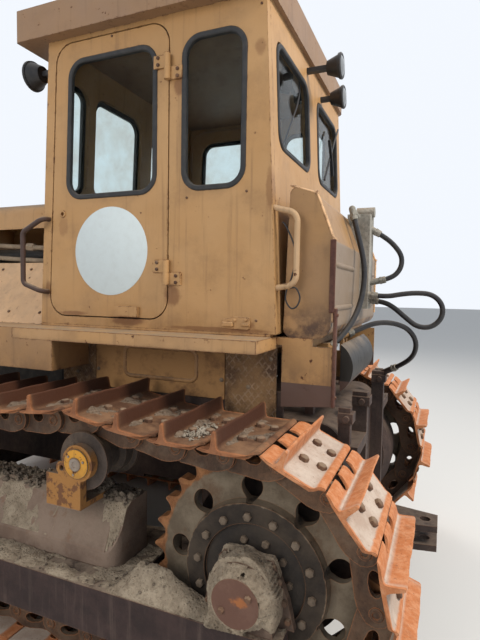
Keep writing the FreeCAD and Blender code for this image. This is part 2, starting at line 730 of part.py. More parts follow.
def track_frame():
    """The left track frame: two beams, deck, spring cover, idler fork and shaft stand."""
    outer = box((BEAM_REAR_X, BEAM_FRONT_X), OUTER_BEAM_Y, (BEAM_BOTTOM, BEAM_TOP))
    inner = box((360.0, BEAM_FRONT_X), INNER_BEAM_Y, (BEAM_BOTTOM, BEAM_TOP))
    deck = box((DECK_REAR_X, 2040.0), (INNER_BEAM_Y[1], OUTER_BEAM_Y[0]),
               (BEAM_TOP - DECK_THICK, BEAM_TOP))
    parts = [outer, inner, deck, spring_guard()] + bearing_stand()
    for i in range(2):
        parts.append(carrier_post(i))
    for x in roller_places():
        z = PIN_BOTTOM_Z + LINK_HALF_HEIGHT + RUN_CLEAR + ROLLER_TREAD_R
        parts.append(box((x - 45.0, x + 45.0), (INNER_BEAM_Y[1], 2.0 * TRACK_CENTRE_Y - OUTER_BEAM_Y[0]),
                         (z - 30.0, BEAM_TOP - DECK_THICK)))
    reach = RAIL_INNER + RAIL_THICK + 8.0
    for side in (-1, 1):
        y = TRACK_CENTRE_Y + side * reach
        fork = box((2000.0, IDLER_X + 95.0), (y, y + side * FORK_THICK),
                   (IDLER_Z - FORK_HALF_HEIGHT, IDLER_Z + FORK_HALF_HEIGHT))
        riser = box((2000.0, 2200.0), (y, y + side * FORK_THICK),
                    (BEAM_TOP, IDLER_Z - FORK_HALF_HEIGHT))
        parts += [fork, riser]
    cross = box((2000.0, 2060.0), (TRACK_CENTRE_Y - reach, TRACK_CENTRE_Y + reach),
                (BEAM_TOP, IDLER_Z + FORK_HALF_HEIGHT))
    brace = plan_prism([(305.0, AXLE_HALF_WIDTH + RUN_CLEAR), (445.0, AXLE_HALF_WIDTH + RUN_CLEAR),
                        (1150.0, INNER_BEAM_Y[0]), (900.0, INNER_BEAM_Y[0])], (345.0, 430.0))
    trunnion = rod((TRUNNION_X, OUTER_BEAM_Y[1], TRUNNION_Z),
                   (TRUNNION_X, ARM_Y[1] + 20.0, TRUNNION_Z), TRUNNION_R)
    saddle = box((TRUNNION_X - 130.0, TRUNNION_X + 130.0), (OUTER_BEAM_Y[1], OUTER_BEAM_Y[1] + 55.0),
                 (BEAM_BOTTOM, BEAM_TOP + 70.0))
    parts += [cross, brace, trunnion, saddle]
    return fuse(parts)


# Main frame, axle and engine


def main_frame():
    """Two rails with a belly plate, a front beam and the equaliser bar across the tracks."""
    parts = []
    for side in (-1, 1):
        parts.append(box((FRAME_REAR_X, FRAME_FRONT_X), (side * RAIL_Y[0], side * RAIL_Y[1]), RAIL_Z))
    parts.append(box((900.0, FRAME_FRONT_X), (-RAIL_Y[1], RAIL_Y[1]), (RAIL_Z[0] - 20.0, RAIL_Z[0])))
    parts.append(box((2960.0, FRAME_FRONT_X + 60.0), (-470.0, 470.0), (540.0, RAIL_Z[1])))
    parts.append(box((1990.0, 2110.0), (-INNER_BEAM_Y[1] + 40.0, INNER_BEAM_Y[1] - 40.0),
                     (BEAM_TOP, RAIL_Z[0] - 20.0)))
    return fuse(parts)


def rear_axle_housing():
    """The rear axle's case with the final drive casings at both ends."""
    case = rounded_side_prism(
        [(AXLE_X[0], AXLE_Z[0]), (AXLE_X[1], AXLE_Z[0]), (AXLE_X[1], AXLE_Z[1]),
         (AXLE_X[0], AXLE_Z[1])], [60.0, 60.0, 40.0, 120.0], (-AXLE_HALF_WIDTH, AXLE_HALF_WIDTH))
    drum = [(0.0, AXLE_HALF_WIDTH), (FINAL_DRIVE_R - 40.0, AXLE_HALF_WIDTH),
            (FINAL_DRIVE_R, AXLE_HALF_WIDTH + 60.0), (FINAL_DRIVE_R, 850.0), (240.0, 880.0),
            (240.0, 930.0 - RUN_CLEAR), (0.0, 930.0 - RUN_CLEAR)]
    left = turned(drum, 0.0, SHAFT_Z)
    return fuse([case, left, mirrored(left)])


def engine_block():
    """The engine as one block between the frame's rails."""
    return box(ENGINE_X, (-RAIL_Y[0] + RUN_CLEAR, RAIL_Y[0] - RUN_CLEAR), ENGINE_Z)


GRILLE_Z = (960.0, 1990.0)
GRILLE_HALF_WIDTH = 380.0
GRILLE_BARS = 15


def radiator_shell():
    """The radiator's housing, open at the front before the core."""
    w = SHELL_HALF_WIDTH
    block = rounded_cross_prism([(-w, RAIL_Z[1]), (w, RAIL_Z[1]), (w, HOOD_TOP), (-w, HOOD_TOP)],
                                [0.0, 0.0, 60.0, 60.0], SHELL_X)
    hole = box((SHELL_X[0] + 90.0, SHELL_X[1] + 1.0), (-GRILLE_HALF_WIDTH, GRILLE_HALF_WIDTH), GRILLE_Z)
    return block.cut(hole)


def radiator_grille():
    """Upright bars and two cross bars in the housing's opening."""
    depth = (SHELL_X[1] - 34.0, SHELL_X[1] - 10.0)
    step = 2.0 * GRILLE_HALF_WIDTH / (GRILLE_BARS + 1)
    parts = []
    for i in range(GRILLE_BARS):
        y = -GRILLE_HALF_WIDTH + step * (i + 1)
        parts.append(box(depth, (y - 7.0, y + 7.0), GRILLE_Z))
    for z in (1300.0, 1650.0):
        parts.append(box((depth[0] - 10.0, depth[0]), (-GRILLE_HALF_WIDTH, GRILLE_HALF_WIDTH),
                         (z - 15.0, z + 15.0)))
    return fuse(parts)


def hood():
    """The engine's hood: a bent sheet from the cab to the radiator."""
    w = SHELL_HALF_WIDTH
    x = (HOOD_REAR_X, SHELL_X[0])
    outer = rounded_cross_prism([(-w, HOOD_SIDE_BOTTOM), (w, HOOD_SIDE_BOTTOM), (w, HOOD_TOP),
                                 (-w, HOOD_TOP)], [0.0, 0.0, 60.0, 60.0], x)
    s = HOOD_SHEET
    inner = rounded_cross_prism(
        [(-w + s, HOOD_SIDE_BOTTOM - 1.0), (w - s, HOOD_SIDE_BOTTOM - 1.0), (w - s, HOOD_TOP - s),
         (-w + s, HOOD_TOP - s)], [0.0, 0.0, 48.0, 48.0], (x[0] - 1.0, x[1] + 1.0))
    return outer.cut(inner)


SIDE_BOX_Y = (646.0 + RUN_CLEAR, PLATFORM_HALF_WIDTH)
SIDE_BOX_X = (1065.0, 2200.0)
SIDE_BOX_BOTTOM = 1237.0


def engine_side_panel():
    """The sloping panel beside the engine, with the posts up to the hood."""
    s = HOOD_SHEET
    top_y = SHELL_HALF_WIDTH
    x = (HOOD_REAR_X, SHELL_X[0])
    foot_y = 680.0
    panel = cross_prism([(top_y - s, PANEL_TOP_Z), (top_y, PANEL_TOP_Z), (foot_y, PLATFORM_Z[1]),
                         (foot_y - s, PLATFORM_Z[1])], x)
    parts = [panel]
    for post in (x[0] + 10.0, (x[0] + x[1]) / 2.0, x[1] - 70.0):
        parts.append(box((post, post + 60.0), (top_y - s, top_y), (PANEL_TOP_Z, HOOD_SIDE_BOTTOM)))
    return fuse(parts)


def side_box():
    """The box under and before the platform's front end."""
    x = SIDE_BOX_X
    split = PLATFORM_X[1] + RUN_CLEAR
    return side_prism([(x[0], SIDE_BOX_BOTTOM), (x[1], SIDE_BOX_BOTTOM), (x[1], PLATFORM_Z[1]),
                       (split, PLATFORM_Z[1]), (split, PLATFORM_Z[0]), (x[0], PLATFORM_Z[0])],
                      SIDE_BOX_Y)


def exhaust_stack():
    """The exhaust pipe on the hood, bevelled at its top."""
    x, y = EXHAUST_PLACE
    pipe = rod((x, y, HOOD_TOP), (x, y, 3070.0), 50.0)
    bore = rod((x, y, 2700.0), (x, y, 3080.0), 44.0)
    muffler = rod((x, y, HOOD_TOP), (x, y, 2560.0), 95.0)
    return pipe.fuse(muffler).cut(bore)


def air_cleaner():
    """The air cleaner's canister and cap on the hood."""
    x, y = CLEANER_PLACE
    neck_z, cap_z, top_z = CLEANER_Z
    body_r, neck_r, cap_r = CLEANER_R
    body = rod((x, y, HOOD_TOP), (x, y, neck_z), body_r)
    neck = rod((x, y, neck_z), (x, y, cap_z), neck_r)
    cap = rod((x, y, cap_z), (x, y, top_z), cap_r)
    return fuse([body, neck, cap])


# Platform and cab

LOWER_PLATE_Y = (634.0, 646.0)


def floor_platform():
    """The running boards and floor under the cab, with its rim and its supports."""
    w = PLATFORM_HALF_WIDTH
    plate = box(PLATFORM_X, (-w, w), (PLATFORM_Z[1] - 12.0, PLATFORM_Z[1]))
    rim = box(PLATFORM_X, (-w, w), PLATFORM_Z).cut(
        box((PLATFORM_X[0] + 14.0, PLATFORM_X[1] - 14.0), (-w + 14.0, w - 14.0),
            (PLATFORM_Z[0] - 1.0, PLATFORM_Z[1] + 1.0)))
    pad = box((CAB_BASE_X[0] + 25.0, CAB_BASE_X[1]), (-CAB_HALF_WIDTH, CAB_HALF_WIDTH),
              (PLATFORM_Z[1], CAB_BASE_Z))
    parts = [plate, rim, pad]
    for side in (-1, 1):
        parts.append(box(PLATFORM_X, (side * LOWER_PLATE_Y[0], side * (LOWER_PLATE_Y[0] + 60.0)),
                         (PLATFORM_Z[0], PLATFORM_Z[1] - 12.0)))
        parts.append(box((150.0, 330.0), (side * 430.0, side * 545.0), (AXLE_Z[1], PLATFORM_Z[1])))
        parts.append(box((1080.0, 1200.0), (side * RAIL_Y[0], side * RAIL_Y[1]),
                         (RAIL_Z[1], PLATFORM_Z[1])))
    return fuse(parts)


LOWER_PLATES = (
    # rear x, front x, bottom z
    (51.0, 292.0, 1062.0),
    (296.0, 1016.0, 1131.0),
    (1020.0, 1230.0, 1062.0),
)


def lower_side_plates():
    """The three plates that close the side under the left running board."""
    return [box((x0, x1), LOWER_PLATE_Y, (z0, PLATFORM_Z[0])) for x0, x1, z0 in LOWER_PLATES]


def cab_x(z, end):
    """Where the cab's rear (0) or front (1) face is at a height."""
    t = (z - CAB_BASE_Z) / (CAB_TOP_Z - CAB_BASE_Z)
    return CAB_BASE_X[end] + (CAB_TOP_X[end] - CAB_BASE_X[end]) * t


DOOR_OUTLINE = [(DOOR_REAR_X, DOOR_Z[0]), (DOOR_FRONT_X[0], DOOR_Z[0]), (DOOR_FRONT_X[1], DOOR_Z[1]),
                (DOOR_REAR_X, DOOR_Z[1])]
DOOR_WINDOW = window_outline(DOOR_WINDOW_X, WINDOW_Z, 22.0)
QUARTER_WINDOW = window_outline(QUARTER_WINDOW_X, WINDOW_Z)
SIDE_Y = (CAB_HALF_WIDTH - CAB_WALL, CAB_HALF_WIDTH)
PANE_Y = (CAB_HALF_WIDTH - CAB_WALL / 2.0 - GLASS_THICK / 2.0,
          CAB_HALF_WIDTH - CAB_WALL / 2.0 + GLASS_THICK / 2.0)


def hinge_barrels(low_half):
    """The lower or upper halves of the left door's hinge barrels."""
    y = CAB_HALF_WIDTH + HINGE_OUT
    x = DOOR_REAR_X - DOOR_GAP / 2.0
    halves = []
    for z in HINGE_Z:
        bottom = z - HINGE_HEIGHT / 2.0 if low_half else z + HINGE_SPLIT
        halves.append(rod((x, y, bottom), (x, y, bottom + HINGE_HEIGHT / 2.0), HINGE_R))
        if low_half:
            halves.append(box((x - 70.0, x), (CAB_HALF_WIDTH, CAB_HALF_WIDTH + 10.0),
                              (bottom, bottom + HINGE_HEIGHT / 2.0)))
        else:
            halves.append(box((x + DOOR_GAP / 2.0 + 1.0, x + 75.0),
                              (CAB_HALF_WIDTH, CAB_HALF_WIDTH + 10.0),
                              (bottom, bottom + HINGE_HEIGHT / 2.0)))
            halves.append(box((x, x + DOOR_GAP / 2.0 + 2.0),
                              (CAB_HALF_WIDTH + 5.0, CAB_HALF_WIDTH + 15.0),
                              (bottom, bottom + HINGE_HEIGHT / 2.0)))
    return halves


def cab_side():
    """The cab's left side: a wall with the door's and the rear window's openings."""
    wall = side_prism([(CAB_BASE_X[0], CAB_BASE_Z), (CAB_BASE_X[1], CAB_BASE_Z),
                       (CAB_TOP_X[1], CAB_TOP_Z), (CAB_TOP_X[0], CAB_TOP_Z)], SIDE_Y)
    through = (SIDE_Y[0] - 1.0, SIDE_Y[1] + 1.0)
    doorway = rounded_side_prism(shrunk(DOOR_OUTLINE, -DOOR_GAP), [DOOR_CORNER_R + DOOR_GAP] * 4,
                                 through)
    window = rounded_side_prism(QUARTER_WINDOW, [WINDOW_R] * 4, through)
    return fuse([wall.cut(doorway).cut(window)] + hinge_barrels(True))


def door():
    """The left door with its window opening, hinge halves, lock and catch."""
    panel = rounded_side_prism(DOOR_OUTLINE, [DOOR_CORNER_R] * 4, SIDE_Y)
    hole = rounded_side_prism(DOOR_WINDOW, [WINDOW_R] * 4, (SIDE_Y[0] - 1.0, SIDE_Y[1] + 1.0))
    lock_x, lock_z = DOOR_LOCK
    boss = rod((lock_x, CAB_HALF_WIDTH, lock_z), (lock_x, CAB_HALF_WIDTH + 5.0, lock_z), LOCK_R[0])
    keyway = rod((lock_x, CAB_HALF_WIDTH - 12.0, lock_z), (lock_x, CAB_HALF_WIDTH + 6.0, lock_z),
                 LOCK_R[1])
    catch = box(DOOR_CATCH_X, (CAB_HALF_WIDTH, CAB_HALF_WIDTH + 20.0),
                (DOOR_Z[0] + 4.0, DOOR_Z[0] + 52.0))
    return fuse([panel.cut(hole), boss, catch] + hinge_barrels(False)).cut(keyway)


def pane(outline, radius):
    """A pane in the left side, just inside its opening."""
    return rounded_side_prism(shrunk(outline, RUN_CLEAR), [radius - RUN_CLEAR] * 4, PANE_Y)


def end_wall(end):
    """The cab's rear (0) or front (1) wall between the sides, leaning with the cab."""
    inward = CAB_WALL if end == 0 else -CAB_WALL
    w = SIDE_Y[0]
    return side_prism([(CAB_BASE_X[end], CAB_BASE_Z), (CAB_BASE_X[end] + inward, CAB_BASE_Z),
                       (CAB_TOP_X[end] + inward, CAB_TOP_Z), (CAB_TOP_X[end], CAB_TOP_Z)], (-w, w))


def end_opening(end, y, z, gap, depth):
    """A rounded window prism across an end wall; depth is how far it reaches either way."""
    x = (cab_x(z[0], end) + cab_x(z[1], end)) / 2.0 + (20.0 if end == 0 else -20.0)
    outline = [(y[0] + gap, z[0] + gap), (y[1] - gap, z[0] + gap), (y[1] - gap, z[1] - gap),
               (y[0] + gap, z[1] - gap)]
    return rounded_cross_prism(outline, [70.0 - gap] * 4, (x - depth, x + depth))


def rear_openings(gap, depth):
    """The two rear windows, left and right of the middle pillar."""
    left = end_opening(0, REAR_WINDOW_Y, REAR_WINDOW_Z, gap, depth)
    return [left, mirrored(left)]


def cab_rear_wall():
    """The rear wall with two windows."""
    return end_wall(0).cut(rear_openings(0.0, 120.0))


def cab_front_wall():
    """The front wall with the windscreen's three openings."""
    return end_wall(1).cut([end_opening(1, y, WINDSCREEN_Z, 0.0, 120.0) for y in WINDSCREEN_Y])


def leaning_pane(end, y, z):
    """A pane that leans with an end wall."""
    whole = end_opening(end, y, z, RUN_CLEAR, 120.0)
    middle = CAB_WALL / 2.0 if end == 0 else -CAB_WALL / 2.0
    half = GLASS_THICK / 2.0
    slab = side_prism([(CAB_BASE_X[end] + middle - half, CAB_BASE_Z),
                       (CAB_BASE_X[end] + middle + half, CAB_BASE_Z),
                       (CAB_TOP_X[end] + middle + half, CAB_TOP_Z),
                       (CAB_TOP_X[end] + middle - half, CAB_TOP_Z)], (-SIDE_Y[0], SIDE_Y[0]))
    return whole.common(slab)


def cab_glass():
    """All fixed panes: the windscreen's three, two rear windows and two side windows."""
    quarter = pane(QUARTER_WINDOW, WINDOW_R)
    rear = leaning_pane(0, REAR_WINDOW_Y, REAR_WINDOW_Z)
    front = [leaning_pane(1, y, WINDSCREEN_Z) for y in WINDSCREEN_Y]
    return Part.makeCompound(front + [rear, mirrored(rear), quarter, mirrored(quarter)])


def cab_roof():
    """The roof with its rounded corners and its overhang at the front."""
    w = ROOF_HALF_WIDTH
    outline = [(ROOF_X[0], -w), (ROOF_X[1], -w), (ROOF_X[1], w), (ROOF_X[0], w)]
    wire = rounded_wire([(x, y, CAB_TOP_Z) for x, y in outline], ROOF_CORNER_R)
    return Part.Face(wire).extrude(Vector(0, 0, ROOF_TOP_Z - CAB_TOP_Z))


def seat():
    """The driver's seat on its box."""
    base = box((380.0, 800.0), (-210.0, 210.0), (CAB_BASE_Z, 1720.0))
    cushion = box((350.0, 850.0), (-250.0, 250.0), (1720.0, 1850.0))
    back = side_prism([(330.0, 1850.0), (440.0, 1850.0), (380.0, 2330.0), (290.0, 2330.0)],
                      (-240.0, 240.0))
    return fuse([base, cushion, back])


def control_console():
    """The instrument panel and the levers before the seat."""
    panel = side_prism([(1090.0, CAB_BASE_Z), (1220.0, CAB_BASE_Z), (1200.0, 2060.0),
                        (1130.0, 2060.0), (1060.0, 1900.0)], (-330.0, 330.0))
    levers = [rod((1085.0, y, 1700.0), (900.0, y, 2010.0), 13.0) for y in (-120.0, 0.0, 120.0)]
    return fuse([panel] + levers)


# Hoses: points by hand along the routes seen, from the distributor and the tank's underside

HOSES = {
    "hose_down": [(-168.0, 120.0, 2022.0), (-190.0, 140.0, 1945.0), (-214.0, 152.0, 1860.0),
                  (-238.0, 170.0, 1765.0), (-243.0, 190.0, 1665.0), (-232.0, 232.0, 1565.0),
                  (-210.0, 305.0, 1485.0), (-176.0, 385.0, 1420.0), (-140.0, 450.0, 1375.0)],
    "hose_upper": [(-248.0, -110.0, 1960.0), (-302.0, -114.0, 1928.0), (-355.0, -118.0, 1880.0),
                   (-393.0, -120.0, 1822.0), (-388.0, -116.0, 1755.0), (-342.0, -110.0, 1706.0),
                   (-280.0, -104.0, 1693.0)],
    "hose_loop": [(-246.0, -50.0, 1614.0), (-322.0, -54.0, 1606.0), (-400.0, -60.0, 1622.0),
                  (-476.0, -66.0, 1630.0), (-551.0, -70.0, 1624.0), (-603.0, -73.0, 1573.0),
                  (-603.0, -76.0, 1501.0), (-553.0, -78.0, 1450.0), (-482.0, -80.0, 1450.0),
                  (-420.0, -82.0, 1500.0), (-360.0, -84.0, 1552.0), (-305.0, -87.0, 1580.0),
                  (-248.0, -90.0, 1584.0)],
    "hose_lower": [(-150.0, 70.0, 1408.0), (-212.0, 25.0, 1440.0), (-285.0, -10.0, 1470.0),
                   (-365.0, -45.0, 1470.0), (-440.0, -85.0, 1440.0), (-482.0, -125.0, 1370.0),
                   (-470.0, -180.0, 1290.0), (-415.0, -240.0, 1230.0), (-348.0, -290.0, 1190.0)],
}
FITTING_R = 17.0


def fitting(name, at_start, length):
    """The round fitting that a hose's end butts on, in line with the hose's end run."""
    points = HOSES[name] if at_start else HOSES[name][::-1]
    end = Vector(*points[0])
    way = end - Vector(*points[1])
    way.normalize()
    return Part.makeCylinder(FITTING_R, length, end, way)


def cab_fan():
    """The round fan on an arm at the rear wall's middle pillar, inside the cab."""
    x = cab_x(2790.0, 0) + CAB_WALL + 20.0
    drum = rod((x, 200.0, 2695.0), (x + 45.0, 225.0, 2700.0), 62.0)
    arm = rod((x + 12.0, 52.0, 2665.0), (x + 15.0, 200.0, 2694.0), 11.0)
    foot = box((cab_x(2685.0, 0) + 10.0, x + 22.0), (30.0, 72.0), (2640.0, 2685.0))
    return fuse([drum, arm, foot]).cut(cab_rear_wall())


# Tank and rear gear


def fuel_tank():
    """The tank behind the cab with its chamfered top, rounded foot and two ribs."""
    outline = [(TANK_FRONT_X, TANK_BOTTOM_Z), (TANK_TOP_FRONT_X, TANK_TOP_Z),
               (TANK_TOP_REAR_X, TANK_TOP_REAR_Z), (TANK_REAR_X, TANK_SHOULDER_Z),
               (TANK_REAR_X, TANK_BOTTOM_Z)]
    return rounded_side_prism(outline, [40.0, 26.0, 30.0, 24.0, 65.0],
                              (-TANK_HALF_WIDTH, TANK_HALF_WIDTH))


def rear_shield():
    """The bulged sheet below the tank's rear edge, its end plate and the rib that holds it."""
    reach = box((SHIELD_X - SHIELD_BULGE - 1.0, SHIELD_X), SHIELD_Y, SHIELD_Z)
    middle_z = (SHIELD_Z[0] + SHIELD_Z[1]) / 2.0
    half = (SHIELD_Z[1] - SHIELD_Z[0]) / 2.0
    centre_x = SHIELD_X + (half * half - SHIELD_BULGE * SHIELD_BULGE) / (2.0 * SHIELD_BULGE)
    radius = centre_x - SHIELD_X + SHIELD_BULGE
    outer = rod((centre_x, SHIELD_Y[0], middle_z), (centre_x, SHIELD_Y[1], middle_z), radius)
    inner = rod((centre_x, SHIELD_Y[0] - 1.0, middle_z), (centre_x, SHIELD_Y[1] - SHIELD_SHEET, middle_z),
                radius - SHIELD_SHEET)
    rib = box((SHIELD_X - 20.0, SHIELD_RIB_X), SHIELD_RIB_Y, (SHIELD_Z[0] + 30.0, SHIELD_Z[1] - 40.0))
    return [outer.cut(inner).common(reach), rib]


def tank_cradle():
    """The plates and the shelf that carry the tank behind the platform."""
    parts = []
    for side in (-1, 1):
        y = (side * (TANK_HALF_WIDTH - CRADLE_PLATE), side * TANK_HALF_WIDTH)
        parts.append(side_prism([(23.0, CRADLE_BOTTOM_Z), (TANK_REAR_X - 8.0, CRADLE_BOTTOM_Z + 20.0),
                                 (TANK_REAR_X - 8.0, 1397.0), (23.0, 1397.0)], y))
        parts.append(box((-60.0, -20.0), (side * 380.0, side * 420.0), (AXLE_Z[1], 1397.0)))
    parts.append(box((-110.0, PLATFORM_X[0] - RUN_CLEAR), (-TANK_HALF_WIDTH, TANK_HALF_WIDTH),
                     (1397.0, TANK_BOTTOM_Z)))
    parts.append(box((-142.0, -90.0), (460.0, 505.0), (1342.0, 1397.0)))
    parts.append(box((-135.0, -90.0), (80.0, 125.0), (1362.0, 1397.0)))
    parts.append(fitting("hose_down", False, 34.0))
    parts.append(fitting("hose_lower", True, 34.0))
    parts += rear_shield()
    return fuse(parts)


def hydraulic_distributor():
    """The valve bracket on the tank's rear face with its fittings and the filter on its top."""
    block = side_prism([(TANK_REAR_X + 20.0, 1540.0), (TANK_REAR_X + 20.0, TANK_SHOULDER_Z),
                        (TANK_TOP_REAR_X, TANK_TOP_REAR_Z), (TANK_TOP_REAR_X, 2045.0),
                        (-232.0, 2045.0), (-232.0, 1540.0)], (-165.0, -25.0))
    block = block.cut(fuel_tank())
    filter_can = rod((-150.0, -100.0, 2062.0), (-245.0, -100.0, 2062.0), 27.0)
    start = Vector(*HOSES["hose_down"][0])
    way = start - Vector(*HOSES["hose_down"][1])
    way.normalize()
    elbow = start + way * 30.0
    pipe = rod(elbow, (-165.0, -40.0, 2028.0), 13.0)
    corner = Part.makeSphere(FITTING_R, elbow)
    return fuse([block, filter_can, pipe, corner, fitting("hose_down", True, 30.0),
                 fitting("hose_upper", True, 30.0), fitting("hose_upper", False, 60.0),
                 fitting("hose_loop", True, 30.0), fitting("hose_loop", False, 30.0)])


def rear_hitch():
    """The hitch frame behind the axle: four clamped posts, drawbar jaw and pin hole."""
    parts = []
    z0, z1 = DRAWBAR_Z
    for side in (-1, 1):
        for x, y, z in HITCH_POSTS:
            parts.append(box(x, (side * y[0], side * y[1]), z))
            head = (side * (y[0] - CLAMP_OVER), side * (y[1] + CLAMP_OVER))
            parts.append(box((x[0] - CLAMP_OVER, x[1]), head, (z[1] - CLAMP_Z[0], z[1] - CLAMP_Z[1])))
            bolt_x = (x[0] + x[1]) / 2.0 - CLAMP_OVER
            bolt_z = z[1] - (CLAMP_Z[0] + CLAMP_Z[1]) / 2.0
            parts.append(rod((bolt_x, side * (y[0] - CLAMP_BOLT_OUT), bolt_z),
                             (bolt_x, side * (y[1] + CLAMP_BOLT_OUT), bolt_z), CLAMP_BOLT_R))
    post_x = HITCH_POSTS[0][0]
    reach = HITCH_POSTS[1][1][1]
    parts.append(box((post_x[0], post_x[1]), (-HITCH_POSTS[0][1][1], HITCH_POSTS[0][1][1]), DRAWBAR_Z))
    for side in (-1, 1):
        parts.append(box(post_x, (side * HITCH_POSTS[0][1][0], side * reach), HITCH_BAR_Z))
    bar = plan_prism([(post_x[0], -130.0), (post_x[0], 130.0), (DRAWBAR_END_X, 70.0),
                      (DRAWBAR_END_X, -70.0)], DRAWBAR_Z)
    slot = box((DRAWBAR_END_X - 1.0, -470.0), (-120.0, 120.0), (z0 + 32.0, z1 - 32.0))
    pin_hole = rod((-560.0, 0.0, z0 - 10.0), (-560.0, 0.0, z1 + 10.0), DRAWBAR_PIN_R)
    parts.append(bar.cut(slot).cut(pin_hole))
    parts.append(fitting("hose_lower", False, 84.0))
    return fuse(parts)


# Lamps and rails


def lamp(centre, way, radius):
    """A round lamp housing with its rim, facing one way."""
    c = Vector(*centre)
    w = Vector(*way)
    w.normalize()
    shell = Part.makeCone(radius * 0.6, radius, LAMP_DEPTH - 14.0, c, w)
    rim = Part.makeCylinder(radius + 5.0, 14.0, c + w * (LAMP_DEPTH - 14.0), w)
    return shell.fuse(rim)


LAMP_R = 56.0
FRONT_LAMP_R = 70.0
FRONT_LAMP_STEM = 13.0
LAMP_DEPTH = 74.0
FRONT_LAMP = (1475.0, 600.0, 2756.0)            # lens x, y, z


WORK_LAMPS = (
    # lens x, y, z
    (-85.0, 100.0, 2775.0),
    (-40.0, -200.0, 2738.0),
)


def work_lamps():
    """Round lamps on brackets: two under the roof's rear edge, two on the cab's front wall."""
    lamps = []
    for lens_x, y, z in WORK_LAMPS:
        back = lens_x + LAMP_DEPTH
        bracket = box((back - 10.0, cab_x(z - 12.0, 0) - RUN_CLEAR), (y - 15.0, y + 15.0),
                      (z - 12.0, z + 12.0))
        lamps.append(fuse([lamp((back, y, z), (-1, 0, 0), LAMP_R), bracket]))
    lens_x, y, z = FRONT_LAMP
    back = lens_x - LAMP_DEPTH
    foot = z - FRONT_LAMP_STEM
    stem = box((cab_x(foot, 1) + RUN_CLEAR, back + 10.0), (y - FRONT_LAMP_STEM, y + FRONT_LAMP_STEM),
               (foot, z + FRONT_LAMP_STEM))
    front = fuse([lamp((back, y, z), (1, 0, 0), FRONT_LAMP_R), stem])
    return Part.makeCompound(lamps + [front, mirrored(front)])


def headlights():
    """Two round lamps on the radiator housing's upper corners."""
    y = SHELL_HALF_WIDTH + 90.0
    stem = box((2880.0, 2940.0), (SHELL_HALF_WIDTH, y + 10.0), (1950.0, 1975.0))
    left = fuse([lamp((2900.0, y, 1985.0), (1, 0, 0), 75.0), stem])
    return pair(left)


RAIL_D = 25.0
RAIL_BEND = 32.0
RAIL_TANK_GAP = 42.0          # from the tank's side to the rear rail's middle line
FRONT_RAIL_FEET = ((1262.0, 1606.0), (1250.0, 1970.0))   # x and z, low and high
FRONT_RAIL_X = 1383.0
FRONT_RAIL_Z = (1645.0, 1905.0)
REAR_RAIL_Z = (1636.0, 1652.0, 1945.0, 1976.0)
REAR_RAIL_X = -45.0
REAR_RAIL_BEND = 46.0


def handrails():
    """The grab rails at the cab's front and rear edges on both sides."""
    face = CAB_HALF_WIDTH
    out = face + 45.0
    start = face + RUN_CLEAR
    low, high = FRONT_RAIL_FEET
    z0, z1 = FRONT_RAIL_Z
    front = tube([(low[0], start, low[1]), (low[0], out, low[1]), (FRONT_RAIL_X, out, z0),
                  (FRONT_RAIL_X, out, z1), (high[0], out, high[1]), (high[0], start, high[1])],
                 RAIL_D, RAIL_BEND)
    foot_y = face - CAB_WALL / 2.0
    middle_y = max(foot_y, TANK_HALF_WIDTH + RAIL_TANK_GAP)
    foot_z, z0, z1, head_z = REAR_RAIL_Z
    rear = tube([(cab_x(foot_z, 0) + 20.0, foot_y, foot_z), (REAR_RAIL_X, middle_y, z0),
                 (REAR_RAIL_X, middle_y, z1), (cab_x(head_z, 0) + 20.0, foot_y, head_z)],
                RAIL_D, REAR_RAIL_BEND)
    wall = side_prism([(CAB_BASE_X[0] - RUN_CLEAR, CAB_BASE_Z), (CAB_BASE_X[0] + 90.0, CAB_BASE_Z),
                       (CAB_TOP_X[0] + 90.0, CAB_TOP_Z), (CAB_TOP_X[0] - RUN_CLEAR, CAB_TOP_Z)],
                      (0.0, face + 60.0))
    rear = rear.cut(wall)
    return Part.makeCompound([front, rear, mirrored(front), mirrored(rear)])


# Blade and lift gear


def blade_front_x(z):
    """The mouldboard's front face at a height: an arc, hollow to the front."""
    low_x = BLADE_FRONT_X - 30.0
    high_x = BLADE_FRONT_X - 60.0
    t = z / BLADE_HEIGHT
    chord = low_x + (high_x - low_x) * t
    return chord - BLADE_DEPTH * 4.0 * t * (1.0 - t)


